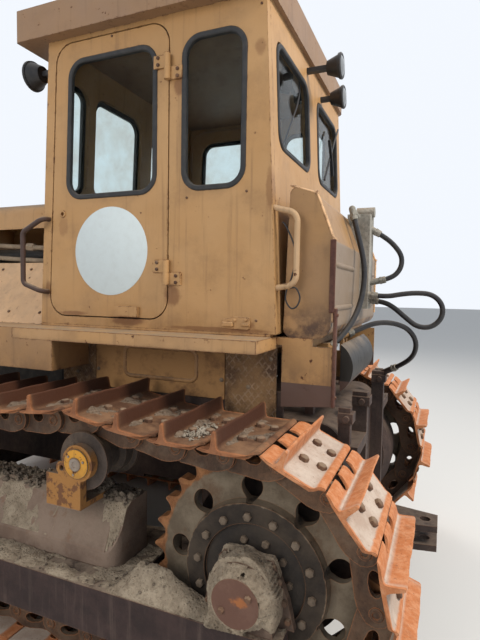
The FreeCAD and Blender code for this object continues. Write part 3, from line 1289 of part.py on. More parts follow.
def blade():
    """The mouldboard, a curved skin with end plates and two beams across its back."""
    w = BLADE_HALF_WIDTH
    bottom = BLADE_BOTTOM_Z
    middle = (bottom + BLADE_HEIGHT) / 2.0
    front = [Vector(blade_front_x(z), -w, z) for z in (bottom, middle, BLADE_HEIGHT)]
    back = [Vector(p.x - BLADE_SKIN, -w, p.z) for p in front]
    wire = Part.Wire([
        Part.Arc(front[0], front[1], front[2]).toShape(),
        Part.LineSegment(front[2], back[2]).toShape(),
        Part.Arc(back[2], back[1], back[0]).toShape(),
        Part.LineSegment(back[0], front[0]).toShape()])
    skin = Part.Face(wire).extrude(Vector(0, 2.0 * w, 0))
    parts = [skin]
    for z0, z1, inset, depth in BLADE_BEAMS:
        foot, head = (blade_front_x(z) - BLADE_SKIN + 6.0 for z in (z0, z1))
        back = min(foot, head) - depth
        parts.append(side_prism([(foot, z0), (head, z1), (back, z1 - inset[1]), (back, z0 + inset[0])],
                                (-w, w)))
    for side in (-1, 1):
        y = (side * (w - 20.0), side * w)
        back_x = blade_front_x(BLADE_WAIST_Z) - 60.0
        parts.append(side_prism([(BLADE_FRONT_X - 60.0, bottom), (BLADE_FRONT_X - 90.0, BLADE_HEIGHT),
                                 (blade_front_x(BLADE_HEIGHT) - 60.0, BLADE_HEIGHT),
                                 (back_x, BLADE_END_Z[1]), (back_x, BLADE_END_Z[0]),
                                 (blade_front_x(bottom) - 90.0, bottom)], y))
        for offset in (-1, 1):
            ear = (side * LIFT_Y + offset * EAR_GAP, side * LIFT_Y + offset * (EAR_GAP + 22.0))
            parts.append(side_prism([(LIFT_EYE[0] - 60.0, LIFT_EYE[1] - 45.0),
                                     (LIFT_EYE[0] - 60.0, LIFT_EYE[1] + 45.0),
                                     (blade_front_x(LIFT_EYE[1] + 120.0) - 10.0,
                                      LIFT_EYE[1] + 120.0),
                                     (blade_front_x(LIFT_EYE[1] - 120.0) - 10.0,
                                      LIFT_EYE[1] - 120.0)], ear))
    return fuse(parts)


def cutting_edge():
    """The bolted edge along the mouldboard's foot, its lower lip the machine's foremost line."""
    foot = blade_front_x(BLADE_BOTTOM_Z)
    head = blade_front_x(EDGE_TOP_Z)
    edge = side_prism([(BLADE_FRONT_X, 0.0), (head + 26.0, EDGE_TOP_Z), (head - 10.0, EDGE_TOP_Z),
                       (foot - 26.0, BLADE_BOTTOM_Z), (foot - 26.0, BLADE_BOTTOM_Z - 16.0),
                       (BLADE_FRONT_X - 26.0, 0.0)],
                      (-BLADE_HALF_WIDTH + 25.0, BLADE_HALF_WIDTH - 25.0))
    return edge.cut(blade())


def push_arm():
    """The left push arm from its trunnion to the blade, with the brace above it."""
    front_x = blade_front_x(ARM_FRONT_Z) - BLADE_SKIN - 150.0
    z = TRUNNION_Z
    h = ARM_HALF_HEIGHT
    arm = side_prism([(TRUNNION_X, z - h), (front_x, ARM_FRONT_Z - h), (front_x, ARM_FRONT_Z + h),
                      (TRUNNION_X, z + h)], ARM_Y)
    boss = rod((TRUNNION_X, ARM_Y[0], z), (TRUNNION_X, ARM_Y[1], z), h + 20.0)
    hole = rod((TRUNNION_X, ARM_Y[0] - 1.0, z), (TRUNNION_X, ARM_Y[1] + 1.0, z), TRUNNION_R + PIN_CLEAR)
    middle_y = (ARM_Y[0] + ARM_Y[1]) / 2.0
    foot = (front_x - 1300.0, middle_y, ARM_FRONT_Z + 20.0)
    head = (blade_front_x(BRACE_HEAD_Z) - BLADE_SKIN - 60.0, middle_y, BRACE_HEAD_Z)
    brace = rod(foot, head, 52.0)
    return arm.fuse(boss).fuse(brace).cut(hole)


def push_frame():
    """Both push arms, trimmed where they meet the blade."""
    left = push_arm()
    return Part.makeCompound([left, mirrored(left)]).cut(blade())


def lift_way():
    """The lift cylinder's unit direction and its length between pivots."""
    dx = LIFT_EYE[0] - LIFT_PIVOT[0]
    dz = LIFT_EYE[1] - LIFT_PIVOT[1]
    length = math.hypot(dx, dz)
    return Vector(dx / length, 0, dz / length), length


def along(distance, y):
    """A point on the left lift cylinder's axis."""
    way, _ = lift_way()
    return Vector(LIFT_PIVOT[0], y, LIFT_PIVOT[1]) + way * distance


TRUNNION_PIN_R = 30.0
BARREL_BACK = 150.0
ROD_START = 385.0             # the rod's inner end, from the trunnion
BARREL_AHEAD = 940.0


def lift_barrel():
    """The lift cylinder's barrel with its trunnion pins."""
    way, _ = lift_way()
    y = LIFT_Y
    body = Part.makeCylinder(BARREL_R, BARREL_BACK + BARREL_AHEAD, along(-BARREL_BACK, y), way)
    collar = Part.makeCylinder(BARREL_R + 14.0, 90.0, along(-45.0, y), way)
    head = Part.makeCylinder(BARREL_R + 8.0, 60.0, along(BARREL_AHEAD - 60.0, y), way)
    pins = rod((LIFT_PIVOT[0], y - 118.0, LIFT_PIVOT[1]), (LIFT_PIVOT[0], y + 118.0, LIFT_PIVOT[1]),
               TRUNNION_PIN_R)
    gland = Part.makeCylinder(ROD_R + PIN_CLEAR, GLAND_LENGTH + 2.0,
                              along(BARREL_AHEAD - GLAND_LENGTH - 1.0, y), way)
    bore = Part.makeCylinder(ROD_R + BORE_CLEAR, BARREL_BACK + BARREL_AHEAD - 40.0 - GLAND_LENGTH,
                             along(-BARREL_BACK + 40.0, y), way)
    return fuse([body, collar, head, pins]).cut([gland, bore])


def lift_rod():
    """The lift cylinder's rod with its eye, which lies between the blade's ears."""
    way, length = lift_way()
    y = LIFT_Y
    bar = Part.makeCylinder(ROD_R, length - ROD_START - 30.0, along(ROD_START, y), way)
    half = EAR_GAP - 5.0
    eye = rod((LIFT_EYE[0], y - half, LIFT_EYE[1]), (LIFT_EYE[0], y + half, LIFT_EYE[1]), 50.0)
    return bar.fuse(eye)


def lift_brackets():
    """The yoke beside the radiator that holds the left barrel's trunnion pins."""
    x, z = LIFT_PIVOT
    parts = []
    for y in (LIFT_Y - 118.0, LIFT_Y + 90.0):
        ear = side_prism([(x - 60.0, z - 60.0), (x + 50.0, z - 60.0), (x + 80.0, z + 80.0),
                          (x + 80.0, z + 125.0), (x + 10.0, z + 125.0), (x - 60.0, z + 50.0)],
                         (y, y + 28.0))
        parts.append(ear.cut(rod((x, y - 1.0, z), (x, y + 29.0, z), TRUNNION_PIN_R + PIN_CLEAR)))
    parts.append(box((x + 10.0, x + 80.0), (LIFT_Y - 118.0, LIFT_Y + 118.0), (z + 105.0, z + 125.0)))
    parts.append(box((x - 60.0, x + 50.0), (SHELL_HALF_WIDTH, LIFT_Y - 118.0), (z - 60.0, z - 20.0)))
    parts.append(box((x - 60.0, x + 50.0), (SHELL_HALF_WIDTH, LIFT_Y - 118.0), (z + 31.0, z + 50.0)))
    return fuse(parts)


def main():
    """Build and write every node."""
    os.makedirs("parts", exist_ok=True)
    print("idler x", round(IDLER_X, 1), "shaft z", round(SHAFT_Z, 1))
    left_track = track()
    sides = {
        "track": left_track,
        "sprocket": sprocket(),
        "idler": idler(),
        "track_frame": track_frame(),
        "cab_side": cab_side(),
        "door": door(),
        "door_glass": pane(DOOR_WINDOW, WINDOW_R),
        "lift_barrel": lift_barrel(),
        "lift_rod": lift_rod(),
    }
    for name, shape in sides.items():
        save(name + "_left", shape)
        save(name + "_right", mirrored(shape))
    rollers = bottom_rollers()
    carriers = carrier_rollers()
    plates = lower_side_plates()
    singles = {
        "bottom_rollers": Part.makeCompound(rollers + [mirrored(r) for r in rollers]),
        "carrier_rollers": Part.makeCompound(carriers + [mirrored(r) for r in carriers]),
        "main_frame": main_frame(),
        "rear_axle_housing": rear_axle_housing(),
        "engine_block": engine_block(),
        "radiator_shell": radiator_shell(),
        "radiator_grille": radiator_grille(),
        "lift_brackets": pair(lift_brackets()),
        "hood": hood(),
        "engine_side_panels": pair(engine_side_panel()),
        "exhaust_stack": exhaust_stack(),
        "air_cleaner": air_cleaner(),
        "side_boxes": pair(side_box()),
        "floor_platform": floor_platform(),
        "lower_side_plates": Part.makeCompound(plates + [mirrored(p) for p in plates]),
        "cab_front_wall": cab_front_wall(),
        "cab_rear_wall": cab_rear_wall(),
        "cab_roof": cab_roof(),
        "cab_glass": cab_glass(),
        "cab_fan": cab_fan(),
        "seat": seat(),
        "control_console": control_console(),
        "fuel_tank": fuel_tank(),
        "tank_cradle": tank_cradle(),
        "hydraulic_distributor": hydraulic_distributor(),
        "rear_hitch": rear_hitch(),
        "work_lamps": work_lamps(),
        "headlights": headlights(),
        "handrails": handrails(),
        "blade": blade(),
        "cutting_edge": cutting_edge(),
        "push_frame": push_frame(),
    }
    for name, shape in singles.items():
        save(name, shape)
    for name, points in HOSES.items():
        save(name, hose(name, points, HOSE_D))


main()
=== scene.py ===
"""Dresses the bulldozer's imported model: its finishes, its fine shapes, its hoses, light and camera.

Places are written in metres about the left sprocket's shaft, x forward, y left and z up from the
ground, and each mesh is shifted into the model's own frame when it is built.
"""

import json
import logging
import math
from dataclasses import dataclass, field
from enum import Enum
from typing import Callable, Iterable, Sequence

import bmesh
import bpy
import numpy as np
from mathutils import Matrix, Vector

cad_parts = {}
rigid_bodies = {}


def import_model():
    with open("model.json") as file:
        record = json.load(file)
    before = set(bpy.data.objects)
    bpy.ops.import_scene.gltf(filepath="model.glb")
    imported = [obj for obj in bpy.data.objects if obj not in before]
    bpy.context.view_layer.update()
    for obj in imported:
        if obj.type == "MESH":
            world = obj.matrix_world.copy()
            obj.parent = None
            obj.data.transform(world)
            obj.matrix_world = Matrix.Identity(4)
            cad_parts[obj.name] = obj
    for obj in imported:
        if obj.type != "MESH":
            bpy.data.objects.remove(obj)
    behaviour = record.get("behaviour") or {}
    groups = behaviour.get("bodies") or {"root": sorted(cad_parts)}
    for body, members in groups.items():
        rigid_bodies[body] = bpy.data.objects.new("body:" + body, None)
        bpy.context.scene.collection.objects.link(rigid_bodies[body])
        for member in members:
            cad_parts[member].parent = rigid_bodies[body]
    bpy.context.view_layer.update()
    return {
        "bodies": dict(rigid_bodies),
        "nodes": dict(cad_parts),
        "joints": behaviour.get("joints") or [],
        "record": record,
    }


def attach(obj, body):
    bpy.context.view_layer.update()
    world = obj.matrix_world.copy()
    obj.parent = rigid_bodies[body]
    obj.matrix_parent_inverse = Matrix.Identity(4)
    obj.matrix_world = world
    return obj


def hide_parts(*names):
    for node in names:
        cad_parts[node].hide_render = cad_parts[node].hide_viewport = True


Array = np.ndarray
Pair = tuple[float, float]
Triple = tuple[float, float, float]
Net = tuple[Array, list[list[int]]]
Piece = bpy.types.Object
Material = bpy.types.Material
Socket = bpy.types.NodeSocket
LOG = logging.getLogger("bulldozer")
SHIFT = np.array([-2.040, 0.0, 0.0])
RNG_SEED = 20
MISSING = -9.0
Layer = Callable[[Array, Array, Array], Array]


class Side(Enum):
    """Which side of the machine a piece belongs to; the value is its sign along Y."""

    LEFT = 1
    RIGHT = -1

    @property
    def word(self) -> str:
        """The side's word, as node names end."""
        return self.name.lower()


# Meshes


class Form:
    """Gathers points and faces in the shaft's frame and builds one object of them."""

    def __init__(self) -> None:
        """Start with nothing."""
        self.points: list[Array] = []
        self.faces: list[list[int]] = []
        self.shades: dict[str, list[Array]] = {}
        self.count = 0

    def add(self, points: Array, faces: Iterable[Sequence[int]]) -> None:
        """Add points of shape (n, 3) and faces that index them."""
        points = np.asarray(points, float).reshape(-1, 3)
        start = self.count
        self.faces.extend([[int(i) + start for i in f] for f in faces])
        self.points.append(points)
        self.count += len(points)

    def grid(self, points: Array, loop_u: bool = False, loop_v: bool = False,
             caps: bool = False) -> None:
        """Add a net of quads over points[u, v]; each index may close on itself.

        Args:
            points: array of shape (rows, columns, 3).
            loop_u: whether the last row joins the first.
            loop_v: whether the last column joins the first.
            caps: whether the first and last rows are filled with one face each.
        """
        rows, cols = points.shape[:2]
        self.add(points, net_faces(rows, cols, loop_u, loop_v, caps))

    def copies(self, points: Array, faces: Sequence[Sequence[int]], frames: Array) -> None:
        """Add one copy of a small mesh for each 4 by 4 frame.

        The copy's point is the frame's rotation times the point, plus the frame's origin.
        """
        moved = np.einsum("kij,nj->kni", frames[:, :3, :3], points) + frames[:, None, :3, 3]
        for each in moved:
            self.add(each, faces)

    def build(self, name: str, finish: Material, slot: str, body: str = "machine",
              smooth: float = 35.0, merge: bool = False) -> Piece:
        """Make the object, shift it into the model's frame and let it ride on a body.

        Args:
            name: the piece's name.
            finish: its material.
            slot: the record's material slot; not used.
            body: the body it moves with.
            smooth: the angle in degrees under which edges shade smooth.
            merge: whether doubled points are merged; a form with shades keeps its points.

        Returns:
            The new object.
        """
        mesh = bpy.data.meshes.new(name)
        points = np.concatenate(self.points) + SHIFT
        mesh.from_pydata(points.tolist(), [], self.faces)
        mesh.validate()
        piece = bpy.data.objects.new(name, mesh)
        bpy.context.scene.collection.objects.link(piece)
        settle(mesh, merge)
        for key, values in self.shades.items():
            mesh.attributes.new(key, "FLOAT_VECTOR", "POINT").data.foreach_set(
                "vector", np.concatenate(values).ravel())
        mesh.polygons.foreach_set("use_smooth", np.ones(len(mesh.polygons), bool))
        mesh.set_sharp_from_angle(angle=math.radians(smooth))
        mesh.materials.append(finish)
        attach(piece, body)
        return piece


def settle(mesh: bpy.types.Mesh, merge: bool) -> None:
    """Point every face outwards, after doubled points are merged where that is asked."""
    work = bmesh.new()
    work.from_mesh(mesh)
    if merge:
        bmesh.ops.remove_doubles(work, verts=work.verts, dist=0.0002)
    bmesh.ops.recalc_face_normals(work, faces=work.faces)
    work.to_mesh(mesh)
    work.free()


def net_faces(rows: int, cols: int, loop_u: bool, loop_v: bool, caps: bool) -> list[list[int]]:
    """The quads of a net of rows by columns, with end faces where asked."""
    u = np.arange(rows if loop_u else rows - 1)
    v = np.arange(cols if loop_v else cols - 1)
    uu, vv = np.meshgrid(u, v, indexing="ij")
    un, vn = (uu + 1) % rows, (vv + 1) % cols
    quads = np.stack([uu * cols + vv, un * cols + vv, un * cols + vn, uu * cols + vn], -1)
    faces = quads.reshape(-1, 4).tolist()
    if caps:
        faces.append(list(range(cols)))
        faces.append(list(range((rows - 1) * cols, rows * cols))[::-1])
    return faces


def circle(radius: float, steps: int, phase: float = 0.0) -> Array:
    """Points (cos, sin) times a radius, evenly round a circle."""
    angle = phase + np.arange(steps) * (2.0 * math.pi / steps)
    return np.stack([np.cos(angle), np.sin(angle)], -1) * radius


def lathe_net(profile: Sequence[Pair], steps: int) -> Array:
    """A turned net about Z: each profile pair (radius, height) carried round the axis."""
    p = np.asarray(profile, float)
    net = np.zeros((len(p), steps, 3))
    net[..., :2] = p[:, None, :1] * circle(1.0, steps)
    net[..., 2] = p[:, 1:]
    return net


def frame_to(origin: Sequence[float], axis: Sequence[float], turn: float = 0.0) -> Array:
    """A 4 by 4 frame at an origin whose Z runs along an axis, turned about it in radians."""
    z = np.asarray(axis, float)
    z = z / np.linalg.norm(z)
    side = np.array([0.0, 0.0, 1.0]) if abs(z[2]) < 0.9 else np.array([1.0, 0.0, 0.0])
    x = np.cross(side, z)
    x = x / np.linalg.norm(x)
    y = np.cross(z, x)
    c, s = math.cos(turn), math.sin(turn)
    out = np.eye(4)
    out[:3, 0] = x * c + y * s
    out[:3, 1] = y * c - x * s
    out[:3, 2] = z
    out[:3, 3] = origin
    return out


def placed(points: Array, frame: Array) -> Array:
    """Points of a frame seen from outside it: its rotation times each, plus its origin."""
    return points @ frame[:3, :3].T + frame[:3, 3]


def lathe(form: Form, profile: Sequence[Pair], origin: Sequence[float],
          axis: Sequence[float], steps: int = 32, caps: bool = True) -> None:
    """Add a turned shape whose heights run along an axis from an origin."""
    net = lathe_net(profile, steps)
    form.grid(placed(net, frame_to(origin, axis)), loop_v=True, caps=caps)


def rounded_outline(corners: Sequence[Pair], radii: Sequence[float], steps: int = 7) -> Array:
    """A closed outline whose corners are arcs: each arc is swept between its two tangent points."""
    c = np.asarray(corners, float)
    out = []
    for i, radius in enumerate(radii):
        before, here, after = c[i - 1], c[i], c[(i + 1) % len(c)]
        a = (before - here) / np.linalg.norm(before - here)
        b = (after - here) / np.linalg.norm(after - here)
        half = math.acos(float(np.clip(a @ b, -1, 1))) / 2.0
        reach = radius / math.tan(half)
        middle = here + (a + b) / np.linalg.norm(a + b) * (radius / math.sin(half))
        p, q = here + a * reach - middle, here + b * reach - middle
        start = math.atan2(p[1], p[0])
        sweep = (math.atan2(q[1], q[0]) - start + math.pi) % (2.0 * math.pi) - math.pi
        t = start + sweep * np.linspace(0.0, 1.0, steps)
        out.append(middle + radius * np.stack([np.cos(t), np.sin(t)], -1))
    return np.concatenate(out)


def along_path(path: Array, closed: bool) -> tuple[Array, Array, Array]:
    """Unit tangents of a path, and two unit vectors across it carried on without twist."""
    nxt = np.roll(path, -1, 0)
    prv = np.roll(path, 1, 0)
    if not closed:
        nxt[-1] = path[-1] * 2 - path[-2]
        prv[0] = path[0] * 2 - path[1]
    t = nxt - prv
    t = t / np.linalg.norm(t, axis=1)[:, None]
    start = np.array([0.0, 0.0, 1.0]) if abs(t[0, 2]) < 0.8 else np.array([0.0, 1.0, 0.0])
    across = np.zeros_like(path)
    last = start
    for i, way in enumerate(t):
        last = last - way * (last @ way)
        last = last / np.linalg.norm(last)
        across[i] = last
    return t, across, np.cross(t, across)


def sweep(form: Form, path: Array, section: Array) -> None:
    """Carry a flat section (a, b) along a path: point = path + a * across + b * side."""
    _, across, side = along_path(path, False)
    net = (path[:, None] + across[:, None] * section[None, :, :1]
           + side[:, None] * section[None, :, 1:])
    form.grid(net, loop_v=True, caps=True)


def trim(form: Form, path: Array, normal: Sequence[float], section: Sequence[Pair]) -> None:
    """Carry a section round a flat path: point = path + a * (normal x tangent) + b * normal."""
    n = np.asarray(normal, float) / np.linalg.norm(normal)
    t, _, _ = along_path(path, True)
    a = np.cross(n, t)
    a = a / np.linalg.norm(a, axis=1)[:, None]
    s = np.asarray(section, float)
    net = path[:, None] + a[:, None] * s[None, :, :1] + n[None, None, :] * s[None, :, 1:]
    form.grid(net, loop_u=True, loop_v=True)


def slab(form: Form, outline: Array, frame: Array, thick: float, bevel: float = 0.0015) -> None:
    """Add a plate: its outline at the foot and near the top, then drawn in by the bevel."""
    middle = outline.mean(0)
    reach = outline - middle
    length = np.linalg.norm(reach, axis=1)[:, None]
    inner = middle + reach * (1.0 - bevel / np.maximum(length, 0.004))
    rings = [np.c_[p, np.full(len(p), h)] for p, h in
             ((outline, 0.0), (outline, thick - bevel), (inner, thick))]
    form.grid(placed(np.array(rings), frame), loop_v=True, caps=True)


def mound(form: Form, frame: Array, u: Array, v: Array, height: Array, foot: float) -> None:
    """Add a closed heap: a net of heights over u by v, its rim brought down to a flat foot."""
    uu, vv = np.meshgrid(u, v, indexing="ij")
    net = np.pad(np.stack([uu, vv, height], -1), ((1, 1), (1, 1), (0, 0)), mode="edge")
    net[0, :, 2] = net[-1, :, 2] = net[:, 0, 2] = net[:, -1, 2] = foot
    rows, cols = net.shape[:2]
    faces = net_faces(rows, cols, False, False, False)
    rim = (list(range(cols)) + [i * cols + cols - 1 for i in range(1, rows)]
           + [(rows - 1) * cols + j for j in range(cols - 2, -1, -1)]
           + [i * cols for i in range(rows - 2, 0, -1)])
    faces.append(rim[::-1])
    form.add(placed(net.reshape(-1, 3), frame), faces)


def plane_frame(origin: Sequence[float], u: Sequence[float], v: Sequence[float]) -> Array:
    """A 4 by 4 frame from an origin and two directions; its third is their cross product."""
    a = np.asarray(u, float) / np.linalg.norm(u)
    b = np.asarray(v, float) / np.linalg.norm(v)
    out = np.eye(4)
    out[:3, 0], out[:3, 1], out[:3, 2], out[:3, 3] = a, b, np.cross(a, b), origin
    return out


def stone() -> Net:
    """A pebble: a ring of six points, wider above than below, with two poles."""
    ring = circle(1.0, 6)
    low = np.c_[ring * 0.8, np.full(6, -0.35)]
    high = np.c_[circle(0.9, 6, 0.5), np.full(6, 0.4)]
    points = np.concatenate([[[0.1, 0.0, -0.8]], low, high, [[0.0, 0.1, 0.85]]])
    faces = []
    for i in range(6):
        j = (i + 1) % 6
        faces += [[0, 1 + j, 1 + i], [1 + i, 1 + j, 7 + j, 7 + i], [7 + i, 7 + j, 13]]
    return points, faces


def pebbles(form: Form, places: Array, sizes: Array, seed: int) -> None:
    """Scatter stones: each turned at random, and stretched along its own three axes."""
    rng = np.random.default_rng(RNG_SEED + seed)
    q = rng.normal(size=(len(places), 4))
    w, x, y, z = (q / np.linalg.norm(q, axis=1)[:, None]).T
    turn = np.stack([1 - 2 * (y * y + z * z), 2 * (x * y - z * w), 2 * (x * z + y * w),
                     2 * (x * y + z * w), 1 - 2 * (x * x + z * z), 2 * (y * z - x * w),
                     2 * (x * z - y * w), 2 * (y * z + x * w), 1 - 2 * (x * x + y * y)],
                    -1).reshape(-1, 3, 3)
    scale = sizes[:, None] * rng.uniform(0.55, 1.2, (len(places), 3))
    frames = np.tile(np.eye(4), (len(places), 1, 1))
    frames[:, :3, :3] = turn * scale[:, None, :]
    frames[:, :3, 3] = places
    form.copies(*stone(), frames)


def smooth_path(points: Sequence[Sequence[float]], steps: int) -> Array:
    """A Catmull-Rom line through points: a cubic between each two, sloped by their neighbours."""
    p = np.asarray(points, float)
    p = np.concatenate([p[:1] * 2 - p[1:2], p, p[-1:] * 2 - p[-2:-1]])
    t = np.linspace(0, 1, steps, endpoint=False)[None, :, None]
    a, b, c, d = (p[i:len(p) - 3 + i, None] for i in range(4))
    line = 0.5 * (2 * b + (c - a) * t + (2 * a - 5 * b + 4 * c - d) * t ** 2
                  + (3 * b - a - 3 * c + d) * t ** 3)
    return np.concatenate([line.reshape(-1, 3), p[-2:-1]])


def block(form: Form, low: Sequence[float], high: Sequence[float], chamfer: float = 0.003) -> None:
    """Add a block whose edges are cut: three points near each corner, numbered corner by corner."""
    corners = np.array(list(np.ndindex(2, 2, 2)))
    lo, hi = np.asarray(low, float), np.asarray(high, float)
    cut = np.where(corners == 1, -chamfer, chamfer)
    points = np.where(corners == 1, hi, lo)[:, None] + cut[:, None] * (1.0 - np.eye(3))
    points = points.reshape(-1, 3)
    stride = (12, 6, 3)
    around = ((0, 0), (1, 0), (1, 1), (0, 1))
    faces = []
    for axis, step in enumerate(stride):
        o, p = (i for i in range(3) if i != axis)
        ring = [stride[o] * a + stride[p] * b for a, b in around]
        faces += [[step * end + i + axis for i in ring] for end in (0, 1)]
        faces += [[i + o, step + i + o, step + i + p, i + p] for i in ring]
    faces += [[i, i + 1, i + 2] for i in range(0, len(points), 3)]
    for face in faces:
        q = points[face]
        if np.cross(q[1] - q[0], q[2] - q[0]) @ (q.mean(0) - (lo + hi) / 2.0) <= 0:
            face.reverse()
    form.add(points, faces)


def lumps(x: Array, y: Array, scale: float, seed: int = 0, octaves: int = 4) -> Array:
    """Smooth noise between -1 and 1: sines of turned and shifted places, each octave finer."""
    rng = np.random.default_rng(RNG_SEED + seed)
    total = np.zeros(np.broadcast(x, y).shape)
    weight = 0.0
    for octave in range(octaves):
        k = scale * 1.9 ** octave
        for _ in range(3):
            angle, shift = rng.uniform(0, 2 * math.pi, 2)
            total += np.sin((x * math.cos(angle) + y * math.sin(angle)) * k * rng.uniform(0.7, 1.4)
                            + shift) / (1.6 ** octave)
            weight += 0.55 / (1.6 ** octave)
    return total / weight


# What stands below the dirt and the bolts


def triangles(nodes: Iterable[Piece]) -> Array:
    """The triangles of some objects in the shaft's frame, of shape (n, 3, 3)."""
    parts = []
    for node in nodes:
        mesh = node.data
        mesh.calc_loop_triangles()
        index = np.zeros(len(mesh.loop_triangles) * 3, np.int32)
        mesh.loop_triangles.foreach_get("vertices", index)
        places = np.zeros(len(mesh.vertices) * 3)
        mesh.vertices.foreach_get("co", places)
        parts.append(places.reshape(-1, 3)[index].reshape(-1, 3, 3))
    return np.concatenate(parts) - SHIFT


def heights(tris: Array, places: Array) -> Array:
    """The third coordinate of the highest triangle over each place; MISSING where there is none.

    A place is a + s b + r c, with a the triangle's first corner and b and c the ways to the
    others; it lies inside where s, r and 1 - s - r are all at least zero.
    """
    low, high = places.min(0), places.max(0)
    near = ((tris[..., :2].max(1) >= low) & (tris[..., :2].min(1) <= high)).all(1)
    a, b, c = (tris[near, 0], tris[near, 1] - tris[near, 0], tris[near, 2] - tris[near, 0])
    turn = b[:, 0] * c[:, 1] - b[:, 1] * c[:, 0]
    flat = np.abs(turn) > 1e-10
    a, b, c, turn = a[flat], b[flat], c[flat], turn[flat]
    best = np.full(len(places), MISSING)
    step = max(1, 2000000 // max(1, len(places)))
    for start in range(0, len(a), step):
        k = slice(start, start + step)
        d = places[:, None] - a[None, k, :2]
        s = (d[..., 0] * c[k, 1] - d[..., 1] * c[k, 0]) / turn[k]
        r = (b[k, 0] * d[..., 1] - b[k, 1] * d[..., 0]) / turn[k]
        inside = (s >= -1e-5) & (r >= -1e-5) & (s + r <= 1.00001)
        z = np.where(inside, a[k, 2] + s * b[k, 2] + r * c[k, 2], MISSING)
        best = np.maximum(best, z.max(1))
    return best


def seated(tris: Array, frame: Array, spots: Sequence[Pair]) -> Array:
    """Places where lines along a frame's third axis, through spots of its first two, first meet."""
    local = (tris - frame[:3, 3]) @ frame[:3, :3]
    flat = np.asarray(spots, float)
    level = heights(local, flat)
    found = level > MISSING
    return placed(np.c_[flat, level][found], frame)


def crust(form: Form, tris: Array, frame: Array, u: Array, v: Array, thick: Layer,
          fill: int = 0, slope: float = 1.2, step: float = 0.03) -> None:
    """Lay dirt over what stands below a net of u by v, seen down a frame's third axis.

    The skin stands `thick` above the highest surface. Where it is filled, each neighbour first
    raises its surroundings to a cone of the given slope. Cells that miss, that step by more than
    `step`, or that hold no dirt are left out; the back lies below the surface.

    Args:
        form: where the dirt is added.
        tris: the triangles under it, in the shaft's frame.
        frame: the frame of the net.
        u: places along the frame's first axis.
        v: places along its second axis.
        thick: gives the thickness from u, v and the surface's height.
        fill: how many cells the filling reaches.
        slope: the filling's slope.
        step: the greatest step within one cell.
    """
    uu, vv = np.meshgrid(u, v, indexing="ij")
    local = (tris - frame[:3, 3]) @ frame[:3, :3]
    base = heights(local, np.c_[uu.ravel(), vv.ravel()]).reshape(uu.shape)
    deep = thick(uu, vv, base)
    filled = base.copy()
    drop = slope * float(u[1] - u[0])
    for _ in range(fill):
        for there, here in (np.s_[1:], np.s_[:-1]), (np.s_[:, 1:], np.s_[:, :-1]):
            filled[there] = np.maximum(filled[there], filled[here] - drop)
            filled[here] = np.maximum(filled[here], filled[there] - drop)
    skin = np.where(deep > 0.0, filled, base) + deep
    back = base - 0.012

    def corners(a: Array) -> Array:
        return np.stack([a[:-1, :-1], a[1:, :-1], a[1:, 1:], a[:-1, 1:]], -1)

    keep = ((corners(base).min(-1) > MISSING) & (np.ptp(corners(skin), axis=-1) < step)
            & (corners(deep).max(-1) > 0.0))
    for _ in range(4):
        for a, b, c, d in ((keep[:-1, :-1], keep[1:, 1:], keep[1:, :-1], keep[:-1, 1:]),
                           (keep[1:, :-1], keep[:-1, 1:], keep[:-1, :-1], keep[1:, 1:])):
            b[a & b & ~c & ~d] = False
    quads = np.array(net_faces(len(u), len(v), False, False, False))[keep.ravel()]
    if not len(quads):
        return
    used, quads = np.unique(quads, return_inverse=True)
    quads = quads.reshape(-1, 4)
    count = len(used)
    edges = np.concatenate([quads[:, [i, (i + 1) % 4]] for i in range(4)])
    rim = edges[~np.isin(edges[:, 0] * count + edges[:, 1], edges[:, 1] * count + edges[:, 0])]
    walls = np.stack([rim[:, 1], rim[:, 0], rim[:, 0] + count, rim[:, 1] + count], -1)
    places = np.concatenate([np.c_[uu.ravel(), vv.ravel(), h.ravel()][used] for h in (skin, back)])
    form.add(placed(places, frame),
             np.concatenate([quads, quads[:, ::-1] + count, walls]).tolist())


def inset(corners: Sequence[Pair], by: float) -> Array:
    """Corners moved towards their middle by the same length on both axes."""
    c = np.asarray(corners, float)
    return c + np.sign(c.mean(0) - c) * by


def facing(way: str) -> Array:
    """A frame at the origin whose third axis looks one way; the first two lie across it."""
    axes = {
        "left": ((-1, 0, 0), (0, 0, 1)), "right": ((1, 0, 0), (0, 0, 1)),
        "up": ((1, 0, 0), (0, 1, 0)), "front": ((0, 1, 0), (0, 0, 1)),
        "rear": ((0, -1, 0), (0, 0, 1)),
    }
    return plane_frame((0.0, 0.0, 0.0), *axes[way])


# Finishes


